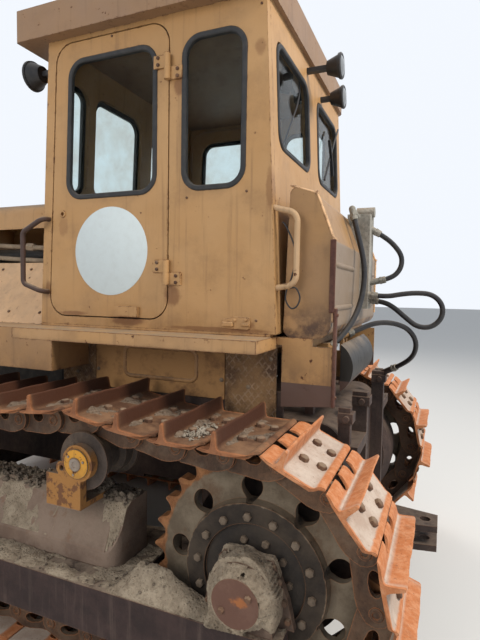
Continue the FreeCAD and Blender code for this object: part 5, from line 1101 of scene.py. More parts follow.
@dataclass
class Studio:
    """The camera at the photograph's place, a pale floor and soft lamps."""

    place: Triple = (-0.60, 2.607, 1.62)
    yaw: float = -67.193
    pitch: float = -3.361
    roll: float = 0.9456
    lens: float = 27.0
    sky: Triple = (0.84, 0.91, 1.0)
    sky_strength: float = 0.55
    seen_sky: Triple = (0.90, 0.94, 1.0)
    floor_reach: float = 60.0
    lamps: tuple = (
        # name, place, aim, size, power
        ("key", (-7.5, 1.5, 8.0), (-1.6, 0.2, 0.9), 2.5, 900.0),
        ("fill", (1.5, 8.5, 4.5), (-1.0, 0.0, 1.3), 5.0, 330.0),
        ("far", (3.0, -7.0, 6.0), (0.0, 0.0, 1.0), 4.0, 350.0),
    )

    def camera(self) -> None:
        """Place the camera: its axes follow from yaw, pitch and roll."""
        yaw, pitch, roll = (math.radians(v) for v in (self.yaw, self.pitch, self.roll))
        ahead = Vector((math.cos(pitch) * math.cos(yaw), math.cos(pitch) * math.sin(yaw),
                        math.sin(pitch)))
        right = ahead.cross(Vector((0, 0, 1))).normalized()
        up = right.cross(ahead)
        right, up = (right * math.cos(roll) + up * math.sin(roll),
                     up * math.cos(roll) - right * math.sin(roll))
        data = bpy.data.cameras.new("camera")
        data.lens = self.lens
        data.sensor_width = 36.0
        data.clip_end = 200.0
        camera = bpy.data.objects.new("camera", data)
        matrix = Matrix((right, up, -ahead)).transposed().to_4x4()
        matrix.translation = Vector(self.place) + Vector(SHIFT)
        camera.matrix_world = matrix
        bpy.context.scene.collection.objects.link(camera)
        bpy.context.scene.camera = camera

    def floor(self) -> None:
        """A wide pale floor at the ground's height."""
        mesh = bpy.data.meshes.new("floor")
        r = self.floor_reach
        mesh.from_pydata([(-r, -r, 0), (r, -r, 0), (r, r, 0), (-r, r, 0)], [], [(0, 1, 2, 3)])
        floor = bpy.data.objects.new("floor", mesh)
        mesh.materials.append(Nodes("pale_floor").finish((0.62, 0.61, 0.59), 0.9))
        bpy.context.scene.collection.objects.link(floor)

    def world(self) -> None:
        """The sky that lights the machine, and a paler one for what the camera sees of it."""
        world = bpy.data.worlds.new("studio")
        world.use_nodes = True
        tree = world.node_tree
        shade = tree.nodes["Background"]
        pale = tree.nodes.new("ShaderNodeBackground")
        for node, colour, strength in ((shade, self.sky, self.sky_strength),
                                       (pale, self.seen_sky, 1.0)):
            node.inputs["Color"].default_value = (*colour, 1.0)
            node.inputs["Strength"].default_value = strength
        rays = tree.nodes.new("ShaderNodeLightPath")
        seen = rays.outputs["Is Camera Ray"]
        for other in ("Is Glossy Ray", "Is Transmission Ray"):
            either = tree.nodes.new("ShaderNodeMath")
            either.operation = "MAXIMUM"
            tree.links.new(seen, either.inputs[0])
            tree.links.new(rays.outputs[other], either.inputs[1])
            seen = either.outputs[0]
        choose = tree.nodes.new("ShaderNodeMixShader")
        for i, socket in enumerate((seen, shade.outputs[0], pale.outputs[0])):
            tree.links.new(socket, choose.inputs[i])
        tree.links.new(choose.outputs[0], tree.nodes["World Output"].inputs["Surface"])
        bpy.context.scene.world = world

    def light(self) -> None:
        """Build the floor, the world and the lamps."""
        scene = bpy.context.scene
        scene.view_settings.view_transform = "Standard"
        self.floor()
        self.world()
        for name, place, aim, size, power in self.lamps:
            lamp = bpy.data.lights.new(name, "AREA")
            lamp.size = size
            lamp.energy = power
            lamp.color = (1.0, 0.96, 0.9)
            holder = bpy.data.objects.new(name, lamp)
            way = Vector(aim) - Vector(place)
            holder.matrix_world = (Matrix.Translation(place)
                                   @ way.to_track_quat("-Z", "Y").to_matrix().to_4x4())
            holder.visible_camera = holder.visible_glossy = holder.visible_transmission = False
            scene.collection.objects.link(holder)


# Hoses


@dataclass
class Hoses:
    """The hydraulic hoses behind the tank, each along its own control points."""

    finish: Finishes
    diameter: float = 0.027
    routes: dict[str, tuple[float, tuple]] = field(default_factory=lambda: {
        "hose_down": (0.786, (
            (-0.168, 0.120, 2.022), (-0.190, 0.140, 1.945), (-0.214, 0.152, 1.860),
            (-0.238, 0.170, 1.765), (-0.243, 0.190, 1.665), (-0.232, 0.232, 1.565),
            (-0.210, 0.305, 1.485), (-0.176, 0.385, 1.420), (-0.140, 0.450, 1.375))),
        "hose_upper": (0.395, (
            (-0.248, -0.110, 1.960), (-0.302, -0.114, 1.928), (-0.355, -0.118, 1.880),
            (-0.393, -0.120, 1.822), (-0.388, -0.116, 1.755), (-0.342, -0.110, 1.706),
            (-0.280, -0.104, 1.693))),
        "hose_loop": (0.857, (
            (-0.246, -0.050, 1.614), (-0.322, -0.054, 1.606), (-0.400, -0.060, 1.622),
            (-0.476, -0.066, 1.630), (-0.551, -0.070, 1.624), (-0.603, -0.073, 1.573),
            (-0.603, -0.076, 1.501), (-0.553, -0.078, 1.450), (-0.482, -0.080, 1.450),
            (-0.420, -0.082, 1.500), (-0.360, -0.084, 1.552), (-0.305, -0.087, 1.580),
            (-0.248, -0.090, 1.584))),
        "hose_lower": (0.721, (
            (-0.150, 0.070, 1.408), (-0.212, 0.025, 1.440), (-0.285, -0.010, 1.470),
            (-0.365, -0.045, 1.470), (-0.440, -0.085, 1.440), (-0.482, -0.125, 1.370),
            (-0.470, -0.180, 1.290), (-0.415, -0.240, 1.230), (-0.348, -0.290, 1.190))),
    })

    def lay(self) -> None:
        for name, (length, points) in self.routes.items():
            places = np.array(points) + SHIFT
            curve = bpy.data.curves.new(name + "_line", "CURVE")
            curve.dimensions = "3D"
            curve.bevel_depth = self.diameter / 2.0
            curve.bevel_resolution = 5
            curve.resolution_u = 10
            curve.use_fill_caps = True
            spline = curve.splines.new("NURBS")
            spline.points.add(len(places) - 1)
            spline.points.foreach_set("co", np.c_[places, np.ones(len(places))].ravel())
            spline.order_u = 3
            spline.use_endpoint_u = True
            piece = bpy.data.objects.new(name + "_cord", curve)
            bpy.context.scene.collection.objects.link(piece)
            curve.materials.append(self.finish.hose)
            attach(piece, "machine")
            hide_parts(name)


# Small parts

BOLT_PROFILE = ((0.72, 1.0), (0.92, 0.86), (1.0, 0.7), (1.0, 0.0))


def bolt_mesh(radius: float, tall: float) -> Net:
    """A worn six-sided bolt head: a profile of radius shares and height shares, turned in six."""
    net = lathe_net([(r * radius, h * tall) for r, h in BOLT_PROFILE], 6)
    faces = net_faces(len(BOLT_PROFILE), 6, False, True, False)
    faces.append(list(range(6))[::-1])
    return net.reshape(-1, 3), [f[::-1] for f in faces]


def bolts(form: Form, places: Sequence[Sequence[float]], axis: Sequence[float], radius: float,
          tall: float) -> None:
    """Add bolt heads at places, standing along an axis, each turned its own way."""
    rng = np.random.default_rng(RNG_SEED + len(places))
    frames = np.array([frame_to(p, axis, float(rng.uniform(0, 1.0))) for p in places])
    points, faces = bolt_mesh(radius, tall)
    form.copies(points, faces, frames)


def fasten(form: Form, nodes: Iterable[Piece], way: str, spots: Sequence[Pair], radius: float,
           tall: float, axis: Sequence[float] = ()) -> None:
    """Add bolt heads where lines through spots meet the nodes' outside.

    Args:
        form: where the heads are added.
        nodes: what they are seated on.
        way: where the surface looks; spots are (x, z) on the sides, (y, z) on the front and
            (-y, z) on the rear.
        spots: a pair for each head.
        radius: the heads' radius.
        tall: their height.
        axis: how they stand, if not straight out.
    """
    frame = facing(way)
    flat = np.asarray(spots, float) * (-1.0 if way == "left" else 1.0, 1.0)
    places = seated(triangles(nodes), frame, flat)
    bolts(form, places, axis if len(axis) else frame[:3, 2], radius, tall)


def ring_places(centre: Sequence[float], radius: float, count: int, first: float) -> Array:
    """Places evenly round a circle that lies across Y."""
    ring = circle(radius, count, math.radians(first))
    return np.asarray(centre, float) + np.c_[ring[:, 0], np.zeros(count), ring[:, 1]]


# Track chain


@dataclass(frozen=True)
class Loop:
    """The pins' closed way round sprocket, idler and carrier rollers, in millimetres.

    Both wheels' circles stand on the lower run. The upper run hangs between the rollers, and the
    idler stands where the last pin meets the first.
    """

    pitch: float = 203.2
    links: int = 38
    teeth: int = 27
    link_half: float = 62.5
    lower_run: float = 139.5
    idler_tread: float = 340.3
    idler_between: Pair = (2380.0, 2680.0)
    carriers: tuple = ((1720.0, 1046.0), (750.0, 1082.0))
    sags: tuple = (0.0, 12.0, 34.0, 26.0)
    first: float = 101.0
    meet: float = 84.0

    def arc(self, x: float, radius: float, start: float, end: float) -> Array:
        """Points each half degree along a wheel's circle."""
        turn = np.radians(np.linspace(start, end, int(abs(end - start) * 2) + 1))
        return np.stack([x + radius * np.cos(turn),
                         self.lower_run + radius + radius * np.sin(turn)], -1)

    def line(self, idler: float) -> Array:
        """The way for an idler at x; a span drops by 4 sag t (1 - t) below its chord."""
        wheel = self.pitch / (2.0 * math.sin(2.0 * math.pi / self.teeth))
        reach = math.hypot(self.idler_tread + self.link_half, self.pitch / 2.0)
        stops = [self.arc(0.0, wheel, self.first, 270.0), self.arc(idler, reach, -90.0, 86.0),
                 *np.array(self.carriers)[:, None], self.arc(0.0, wheel, self.meet, self.first)]
        t = np.arange(1, 60)[:, None] / 60.0
        out = [stops[0]]
        for before, after, sag in zip(stops, stops[1:], self.sags):
            drop = np.array((0.0, 4.0 * sag)) * t * (1.0 - t)
            out += [before[-1] + (after[0] - before[-1]) * t - drop, after]
        return np.concatenate(out)

    def walk(self, idler: float) -> list[Array]:
        """Pins one pitch apart along the way, at most one more than the links.

        Each lies where |a + t b| is the pitch, with a the way from the last pin to the start of
        the stretch that leaves the pitch's circle, and b that stretch.
        """
        line = self.line(idler)
        pins, here = [line[0]], 0
        for _ in range(self.links):
            away = np.linalg.norm(line[here + 1:] - pins[-1], axis=1)
            beyond = np.flatnonzero(away >= self.pitch)
            if not len(beyond):
                break
            here += int(beyond[0])
            a, b = line[here] - pins[-1], line[here + 1] - line[here]
            root = math.sqrt((a @ b) ** 2 - (b @ b) * (a @ a - self.pitch ** 2))
            pins.append(line[here] + b * ((root - a @ b) / (b @ b)))
        return pins

    def pins(self) -> Array:
        """The pins in metres, to a tenth of a millimetre, with the idler placed by halving."""
        near, far = self.idler_between
        for _ in range(40):
            middle = (near + far) / 2.0
            if len(self.walk(middle)) > self.links:
                far = middle
            else:
                near = middle
        return np.round(self.walk(far)[:self.links], 1) / 1000.0


@dataclass
class Chain:
    """One track: shoes with a grouser and a lip, offset side bars, pins, bushings and bolts."""

    finish: Finishes
    side: Side
    pins: Array
    middle: float = 0.940
    pitch: float = 0.2032
    half_width: float = 0.250
    plate_foot: float = 0.0625
    bar_inner: float = 0.052
    bar_thick: float = 0.0225
    bushing: float = 0.033
    slot_at: float = 0.078
    slot_half: float = 0.027
    strip: float = 0.053
    strip_end: float = 0.011
    slot_share: float = 0.97
    plate_top: float = 0.012
    mud_from: Pair = (0.05, 0.97)
    crumb_link: int = 36

    # distance along the link and height above the plate's foot, in millimetres
    shoe_top = ((-42, 1.8), (-40, 3.7), (-33, 7.4), (-26.5, 9.4), (-20, 10.2), (-6, 10.6),
                (12, 11.5), (18, 16), (21.5, 28), (25.5, 72), (28, 77), (34, 77), (37, 72.5),
                (41, 28), (45, 16), (51, 12), (76, 12), (100, 12), (125, 12), (146, 12), (155, 15),
                (163, 21.5), (171, 24.5), (180, 24), (185.5, 21), (188, 16.5))
    shoe_foot = ((187, 13.5), (181, 12.4), (169, 11), (157, 3), (146, 0), (90, 0), (30, 0),
                 (12, 1), (-6, 1.6), (-20, 1.5), (-31, 1.0), (-40, 0.3), (-42, 0.6))

    def frames(self) -> Array:
        """A frame for each link: X along it, Y across to its outside, Z outwards from the loop."""
        pins = self.pins
        ahead = np.roll(pins, -1, 0) - pins
        ahead = ahead / np.linalg.norm(ahead, axis=1)[:, None]
        out = np.zeros((len(pins), 4, 4))
        out[:, 0, 0], out[:, 2, 0] = ahead[:, 0], ahead[:, 1]
        out[:, 1, 1] = self.side.value
        out[:, 0, 2], out[:, 2, 2] = ahead[:, 1], -ahead[:, 0]
        out[:, 0, 3], out[:, 2, 3] = pins[:, 0], pins[:, 1]
        out[:, 1, 3] = self.side.value * self.middle
        out[:, 3, 3] = 1.0
        return out

    def shoe_net(self, wear: np.random.Generator) -> Array:
        """One shoe: a profile along the link carried across it.

        The profile's leading edge is set back by two round-ended slots, both edges narrow the
        shoe at its corners, and the grouser's crest is worn by a slow wave.
        """
        half = self.half_width
        slot = self.slot_at + self.slot_half * np.cos(np.linspace(math.pi, 0.0, 15))
        outer = [0.13, 0.16, 0.195, 0.225, 0.240, 0.247, half]
        across = np.concatenate([[0.0, 0.025], slot, outer])
        across = np.concatenate([-across[:0:-1], across])
        profile = np.array(self.shoe_top + self.shoe_foot) / 1000.0
        s = np.repeat(profile[None, :, 0], len(across), 0)
        h = np.repeat(profile[None, :, 1], len(across), 0)
        w = np.repeat(across[:, None], profile.shape[0], 1)
        off = (np.abs(w) - self.slot_at) / self.slot_half
        deep = self.strip * np.clip(1.0 - off ** 4, 0.0, 1.0) ** 0.4 * self.slot_share
        end = self.strip_end
        s = np.where(s < end, end - (end - s) * (1.0 - deep / self.strip), s)
        corner = (0.034 * np.clip((s - 0.150) / 0.036, 0, 1) ** 0.8
                  + 0.018 * np.clip((-0.010 - s) / 0.030, 0, 1))
        w = w * (1.0 - corner / half)
        crest = np.clip((h - 0.03) / 0.047, 0.0, 1.0)
        phase = wear.uniform(0, 6.28, 4)
        wave = (np.sin(w * 17 + phase[0]) + 0.6 * np.sin(w * 41 + phase[1])
                + 0.4 * np.sin(w * 97 + phase[2]))
        h = h - crest * (0.0013 * (wave + 1.4) + 0.003 * np.clip((np.abs(w) - 0.240) / 0.01, 0, 1))
        s = s + crest * 0.0015 * np.sin(w * 9 + phase[1])
        lip = np.clip((s - 0.165) / 0.02, 0, 1)
        h = h + lip * 0.0012 * np.sin(w * 23 + phase[3])
        return np.stack([s, w, h + self.plate_foot], -1)

    def wear(self, net: Array, upper: float) -> Array:
        """Each point's rubbed share, rib share and share of the upper run, dusty and in painted
        shade.
        """
        s, w, h = net[..., 0], np.abs(net[..., 1]), net[..., 2] - self.plate_foot
        ends = np.clip((w - 0.222) / 0.026, 0, 1)
        lip = np.clip((s - 0.147) / 0.018, 0, 1) * (1.0 - 0.45 * upper)
        strip = np.clip((0.016 - s) / 0.006, 0, 1)
        rib = np.clip((h - 0.014) / 0.012, 0, 1) * (s < 0.1)
        return np.stack([np.maximum(np.maximum(ends, lip), strip), rib,
                         np.full_like(s, upper)], -1)

    def shoes(self) -> None:
        """All shoes as one piece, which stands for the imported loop."""
        form = Form()
        form.shades["wear"] = []
        rng = np.random.default_rng(RNG_SEED + self.side.value)
        for frame in self.frames():
            local = self.shoe_net(rng)
            form.grid(placed(local, frame), loop_v=True, caps=True)
            # The upper run's share: the material darkens these shoes as dust and painted shade.
            upper = float(np.clip((frame[0, 3] + 0.02) / 0.12, 0, 1)) * (frame[2, 3] > 0.9)
            form.shades["wear"].append(self.wear(local, upper).reshape(-1, 3))
        piece = form.build(f"shoes_{self.side.word}", self.finish.shoe, "track_steel", smooth=28)
        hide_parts(f"track_{self.side.word}")

    def sided(self, faces: list[list[int]]) -> list[list[int]]:
        """Faces in this side's order: the right side's frames are mirrored, so they turn."""
        return faces if self.side is Side.LEFT else [f[::-1] for f in faces]

    def bar(self, mirror: int) -> Net:
        """One side bar: a ring of quads between its outline and its nut pocket.

        Its outline has an eye round each pin, a flat foot that the rollers run on and a flat
        head under the shoe; its middle plane steps outwards between the eyes.
        """
        p = self.pitch
        outline = np.array([(-0.047, 0.0), (-0.043, 0.022), (-0.027, 0.042), (-0.004, 0.050),
                            (0.022, 0.058), (0.040, 0.0625), (0.075, 0.0625), (0.125, 0.0625),
                            (0.165, 0.0625), (0.182, 0.056), (p + 0.004, 0.047),
                            (p + 0.026, 0.040), (p + 0.041, 0.022), (p + 0.046, 0.0),
                            (p + 0.041, -0.022), (p + 0.028, -0.040), (p + 0.008, -0.050),
                            (0.180, -0.0605), (0.150, -0.0625), (0.100, -0.0625),
                            (0.050, -0.0625), (0.018, -0.0610), (-0.008, -0.050),
                            (-0.030, -0.040), (-0.043, -0.022)])
        centre = np.array([0.108, 0.012])
        turn = np.arctan2(outline[:, 1] - centre[1], outline[:, 0] - centre[0])
        pocket = centre + np.stack([0.040 * np.cos(turn), 0.023 * np.sin(turn)], -1)
        rings = []
        for points, face in ((outline, 1), (pocket, 1), (pocket, -1), (outline, -1)):
            step = np.clip((points[:, 0] - 0.06) / (p - 0.12), 0.0, 1.0)
            step = step * step * (3.0 - 2.0 * step)
            y = self.bar_inner + self.bar_thick * (0.5 + step) + face * self.bar_thick / 2.0
            rings.append(np.stack([points[:, 0], mirror * y, points[:, 1]], -1))
        net = np.array(rings)
        faces = net_faces(4, len(outline), True, True, False)
        if mirror > 0:
            faces = [f[::-1] for f in faces]
        return net.reshape(-1, 3), faces

    def chain(self) -> None:
        """Side bars, pins and bushings as one piece."""
        form = Form()
        frames = self.frames()
        for mirror in (-1, 1):
            points, faces = self.bar(mirror)
            form.copies(points, self.sided(faces), frames)
        end = self.bar_inner + 2.0 * self.bar_thick
        for profile in (((self.bushing, -self.bar_inner), (self.bushing, self.bar_inner)),
                        ((0.0, -end - 0.004), (0.012, -end - 0.002), (0.014, -end - 0.006),
                         (0.021, -end - 0.006), (0.024, -end - 0.003), (0.024, end + 0.003),
                         (0.021, end + 0.006), (0.014, end + 0.006), (0.012, end + 0.002),
                         (0.0, end + 0.004))):
            net = lathe_net(profile, 14)
            turned = net[..., [0, 2, 1]]
            faces = net_faces(len(profile), 14, False, True, False)
            form.copies(turned.reshape(-1, 3), self.sided(faces), frames)
        form.build(f"chain_{self.side.word}", self.finish.link, "track_steel", smooth=40)

    def bolt_heads(self) -> None:
        """Four bolt heads on each shoe's plate."""
        form = Form()
        points, faces = bolt_mesh(0.0185, 0.016)
        top = self.plate_foot + self.plate_top
        for along, out in ((0.074, 0.094), (0.138, 0.076)):
            for mirror in (-1, 1):
                local = np.eye(4)
                local[:3, 3] = (along, mirror * out, top)
                form.copies(points, self.sided([f[::-1] for f in faces]), self.frames() @ local)
        form.build(f"shoe_bolts_{self.side.word}", self.finish.bolt, "track_steel")

    def dirt(self) -> None:
        """Dried mud between the ribs of the upper run: waves and lumps that sink at the plate."""
        form = Form()
        along, across = np.linspace(0.046, 0.162, 16), np.linspace(-0.228, 0.228, 48)
        s, w = np.meshgrid(along, across, indexing="ij")
        for index, frame in enumerate(self.frames()):
            if frame[0, 3] < self.mud_from[0] or frame[2, 3] < self.mud_from[1]:
                continue
            pile = (0.0115 * lumps(s + index, w, 20.0, index, 3) + 0.005 * lumps(s, w, 85.0, 60, 3)
                    + 0.009 * np.clip((0.078 - s) / 0.03, 0.0, 1.0)
                    - 0.012 * np.clip((np.abs(w) - 0.17) / 0.03, 0.0, 1.0) - 0.004)
            top = self.plate_foot + self.plate_top + np.clip(pile, -0.004, 0.030)
            mound(form, frame, along, across, top, self.plate_foot + 0.007)
        form.build(f"shoe_dirt_{self.side.word}", self.finish.run_dirt, "track_steel", smooth=60)

    def crumbs(self) -> None:
        """A scatter of pale stones on one shoe of the upper run, thick in its middle."""
        rng = np.random.default_rng(RNG_SEED)
        frame = self.frames()[self.crumb_link]
        spots = rng.normal((0.105, 0.10), (0.022, 0.045), (150, 2))
        spots = spots[(spots[:, 0] > 0.052) & (spots[:, 0] < 0.16) & (np.abs(spots[:, 1]) < 0.22)]
        local = np.c_[spots, np.full(len(spots), self.plate_foot + 0.017)]
        form = Form()
        pebbles(form, placed(local, frame), 0.0065 * rng.uniform(0.4, 1.5, len(local)), 7)
        form.build("shoe_crumbs", self.finish.crumbs, "track_steel", smooth=60)

    def build(self) -> None:
        """Build the whole track."""
        self.shoes()
        self.chain()
        self.bolt_heads()
        self.dirt()
        if self.side is Side.LEFT:
            self.crumbs()


# Dirt


@dataclass
class Dirt:
    """Dry mud and stones on a track frame's ledge, guard and stand, and its guard's cover."""

    finish: Finishes
    side: Side
    node: Piece
    cell: float = 0.009
    ledge: float = 0.457
    lip: float = 0.522
    guard: float = 0.712
    shaft: float = 0.580
    cap_face: float = 1.16
    bare: float = -0.003
    cover_line: tuple = ((1.0305, 0.5285), (0.957, 0.6885), (0.9245, 0.7115), (0.862, 0.7125))
    cover_ends: tuple = (0.656, 0.659, 0.944, 0.947)
    stones: tuple = (
        # count, lowest x and y, highest x and y, size
        (110, (-0.12, 1.066), (2.3, 1.15), 0.005),
        (620, (0.615, 0.815), (1.95, 0.955), 0.0085),
        (170, (0.615, 0.815), (0.86, 0.945), 0.0135),
    )

    def lying(self, x: Array, y: Array, base: Array) -> Array:
        """Thickness on what faces up: the beam's ledge with its heap, the guard and the hub."""
        out = np.abs(y)
        slow, fine = lumps(x, y, 24.0, 3), lumps(x, y, 95.0, 4, 3)
        heap = np.exp(-(np.abs(x - 0.43) / np.where(x > 0.43, 0.07, 0.20)) ** 2
                      - ((out - 1.07) / 0.070) ** 2)
        beam = 0.008 + 0.010 * slow + 0.004 * fine + 0.100 * heap
        beam = beam - 0.014 * np.clip((out - 1.13) / 0.03, 0.0, 1.0)
        top = 0.003 + 0.015 * slow + 0.005 * fine
        hub = 0.016 + 0.009 * slow + 0.004 * fine
        cover = np.where(np.abs(base - self.ledge) < 0.02, beam, self.bare)
        cover = np.where((base > self.lip - 0.02) & (base < self.guard + 0.03) & (x > 0.5),
                         top, cover)
        cover = np.where((base > 0.62) & (np.abs(x) < 0.2) & (out > 1.04) & (out < 1.145),
                         hub, cover)
        return np.clip(cover, self.bare, None)

    def hanging(self, u: Array, z: Array, base: Array) -> Array:
        """Thickness on the bearing stand's outer face, thick round the hub and off its cap."""
        away = np.hypot(u, z - self.shaft)
        mud = 0.010 + 0.010 * lumps(u, z, 26.0, 5) + 0.004 * lumps(u, z, 105.0, 6, 3)
        mud = mud - 0.020 * np.clip((np.abs(u) - 0.125) / 0.02, 0.0, 1.0)
        mud = mud - 0.012 * np.clip((0.50 - z) / 0.03, 0.0, 1.0) * (away > 0.12)
        face = (base > 1.035) & (base < self.cap_face)
        return np.where(face, np.clip(mud, self.bare, None), self.bare)

    def cover(self) -> None:
        """The sheet over the guard's rear: its slope's outline, set off and carried along."""
        line = np.array(self.cover_line)
        ahead = np.gradient(line, axis=0)
        out = np.stack([ahead[:, 1], -ahead[:, 0]], -1)
        out = out / np.linalg.norm(out, axis=1)[:, None]
        ring = np.concatenate([line + out * 0.0055, (line - out * 0.003)[::-1]])
        net = np.zeros((len(self.cover_ends), len(ring), 3))
        net[..., 0] = np.array(self.cover_ends)[:, None]
        net[..., 1] = self.side.value * ring[:, 0]
        net[..., 2] = ring[:, 1]
        form = Form()
        form.grid(net, loop_v=True, caps=True)
        form.build(f"guard_cover_{self.side.word}", self.finish.track_frame, "frame_steel")

    def build(self) -> None:
        """Lay the mud and its stones."""
        self.cover()
        tris = triangles([self.node])
        s = self.side.value
        form = Form()
        across = np.sort(s * np.arange(0.8045, 1.160, self.cell))
        crust(form, tris, facing("up"), np.arange(-0.146, 2.325, self.cell), across, self.lying)
        crust(form, tris, facing(self.side.word), np.arange(-0.19, 0.19, 0.007),
              np.arange(0.455, 0.71, 0.007), self.hanging, fill=9, slope=1.4)
        form.build(f"frame_mud_{self.side.word}", self.finish.mud, "frame_steel", smooth=60)
        rng = np.random.default_rng(RNG_SEED + s)
        form = Form()
        for count, low, high, size in self.stones:
            spots = rng.uniform(low, high, (count, 2)) * (1, s)
            level = heights(tris, spots)
            rise = 0.006 + np.clip(self.lying(spots[:, 0], spots[:, 1], level), 0.0, None)
            keep = level > 0.3
            places = np.c_[spots, level + rise][keep]
            pebbles(form, places, size * rng.uniform(0.5, 1.7, len(places)), count)
        form.build(f"frame_stones_{self.side.word}", self.finish.gravel, "frame_steel", smooth=60)


# Cab

SEAL_SECTION = ((-0.012, 0.0), (-0.012, 0.006), (-0.007, 0.010), (0.007, 0.010), (0.012, 0.006),
                (0.012, 0.0), (0.012, -0.012), (-0.012, -0.012))


@dataclass
class Cab:
    """The cab's window rubbers, bolts, wires, lamps' glass and the door's bare disk."""

    finish: Finishes
    nodes: dict[str, Piece]
    skin: float = 0.720
    seal_back: float = 0.004
    corner: float = 0.090
    seal_half: float = 0.011
    door_window: tuple = ((0.615, 2.059), (1.140, 2.059), (1.118, 2.728), (0.615, 2.728))
    quarter: tuple = ((0.180, 2.059), (0.487, 2.059), (0.487, 2.728), (0.180, 2.728))
    screens: tuple = ((0.460, 0.610), (-0.040, 0.400), (-0.610, -0.157))
    screen_z: Pair = (2.130, 2.690)
    rears: tuple = ((0.088, 0.620), (-0.620, -0.088))
    rear_z: Pair = (2.240, 2.705)
    disk: Triple = (0.8725, 1.804, 0.210)
    hinges: Pair = (1.702, 2.605)
    leaves: Pair = (0.605, 0.505)
    hinge_bolt: Pair = (0.0085, 0.007)
    side_spots: tuple = ((0.458, 2.031), (0.173, 2.042), (0.12, 2.79), (0.12, 1.50))
    wire_y: float = 0.700
    wire: tuple = ((0.018, 1.911), (0.0, 1.886), (-0.032, 1.815), (-0.038, 1.746), (-0.022, 1.672),
                   (-0.005, 1.630), (-0.002, 1.588), (-0.025, 1.556), (-0.050, 1.565),
                   (-0.062, 1.602), (-0.044, 1.639), (-0.018, 1.638))
    fan_cable: tuple = ((0.13, 0.20, 2.80), (0.11, 0.194, 2.66), (0.10, 0.25, 2.56),
                        (0.10, 0.33, 2.46), (0.10, 0.398, 2.382), (0.10, 0.46, 2.31),
                        (0.11, 0.497, 2.255))
    wiper_arm: tuple = ((0.064, -0.552, 2.675), (0.058, -0.40, 2.53), (0.052, -0.161, 2.270))
    wiper_blade: tuple = ((0.050, -0.25, 2.52), (0.047, -0.30, 2.43), (0.045, -0.34, 2.33))
    rear_lamps: tuple = ((-0.085, 0.100, 2.775), (-0.040, -0.200, 2.738))
    cab_lamp: tuple = (1.475, 0.600, 2.756, 0.070)
    hood_lamp: tuple = (2.974, 0.542, 1.985, 0.075)

    @staticmethod
    def rear_x(z: Array) -> Array:
        """The rear wall's outer face: x = 0.0337 + 0.04892 (z - 1.5)."""
        return 0.0337 + (z - 1.5) * 0.04892

    @staticmethod
    def front_x(z: Array) -> Array:
        """The front wall's outer face: x = 1.3046 - 0.04392 (z - 1.5)."""
        return 1.3046 - (z - 1.5) * 0.04392

    def side_seal(self, form: Form, corners: tuple, side: Side) -> None:
        """A rubber round a side window, just inside its opening."""
        radius = self.corner - self.seal_half
        line = rounded_outline(inset(corners, self.seal_half), [radius] * 4, 9)
        y = np.full(len(line), side.value * (self.skin - self.seal_back))
        path = np.stack([line[:, 0], y, line[:, 1]], -1)
        trim(form, path, (0.0, side.value, 0.0), SEAL_SECTION)

    def end_seal(self, form: Form, across: Pair, tall: Pair, rear: bool) -> None:
        """A rubber round a window of an end wall, leaning with the wall."""
        corners = ((across[0], tall[0]), (across[1], tall[0]), (across[1], tall[1]),
                   (across[0], tall[1]))
        radius = min(self.corner, 0.45 * (across[1] - across[0])) - self.seal_half
        line = rounded_outline(inset(corners, self.seal_half), [radius] * 4, 9)
        wall = self.rear_x(line[:, 1]) if rear else self.front_x(line[:, 1])
        back = self.seal_back if rear else -self.seal_back
        path = np.stack([wall + back, line[:, 0], line[:, 1]], -1)
        trim(form, path, (-1.0, 0.0, 0.0489) if rear else (1.0, 0.0, 0.0439), SEAL_SECTION)

    def seals(self) -> None:
        """All rubbers; those of the doors swing with them."""
        form = Form()
        for side in Side:
            door = Form()
            self.side_seal(door, self.door_window, side)
            door.build(f"door_seal_{side.word}", self.finish.seal, "hose_rubber",
                       f"door_{side.word}")
            self.side_seal(form, self.quarter, side)
        for across in self.rears:
            self.end_seal(form, across, self.rear_z, True)
        for across in self.screens:
            self.end_seal(form, across, self.screen_z, False)
        form.build("window_seals", self.finish.seal, "hose_rubber")

    def door_pieces(self) -> None:
        """The bare disk and the bolts that swing with each door, and those that stay."""
        x, z, radius = self.disk
        disk = Form()
        lathe(disk, ((0.0, -0.0006), (radius, -0.0006), (radius, 0.0008), (radius - 0.0015, 0.0014),
                     (0.0, 0.0014)), (x, self.skin, z), (0, 1, 0), 72, caps=False)
        disk.build("door_disk", self.finish.bare, "body_paint", "door_left", merge=True)
        fixed = Form()
        for side in Side:
            moving, word = Form(), side.word
            door, wall = [self.nodes["door_" + word]], [self.nodes["cab_side_" + word]]
            fasten(moving, door, word, [(self.leaves[0], h + d) for h in self.hinges
                                        for d in (0.015, 0.045)], *self.hinge_bolt)
            fasten(moving, door, word, [(0.863, 2.798)], 0.006, 0.005)
            moving.build("door_bolts_" + word, self.finish.bolt, "dark_steel", "door_" + word)
            fasten(fixed, wall, word, [(self.leaves[1], h + d) for h in self.hinges
                                       for d in (-0.015, -0.045)], *self.hinge_bolt)
            fasten(fixed, wall, word, self.side_spots, 0.006, 0.004)
        fixed.build("cab_bolts", self.finish.bolt, "dark_steel")

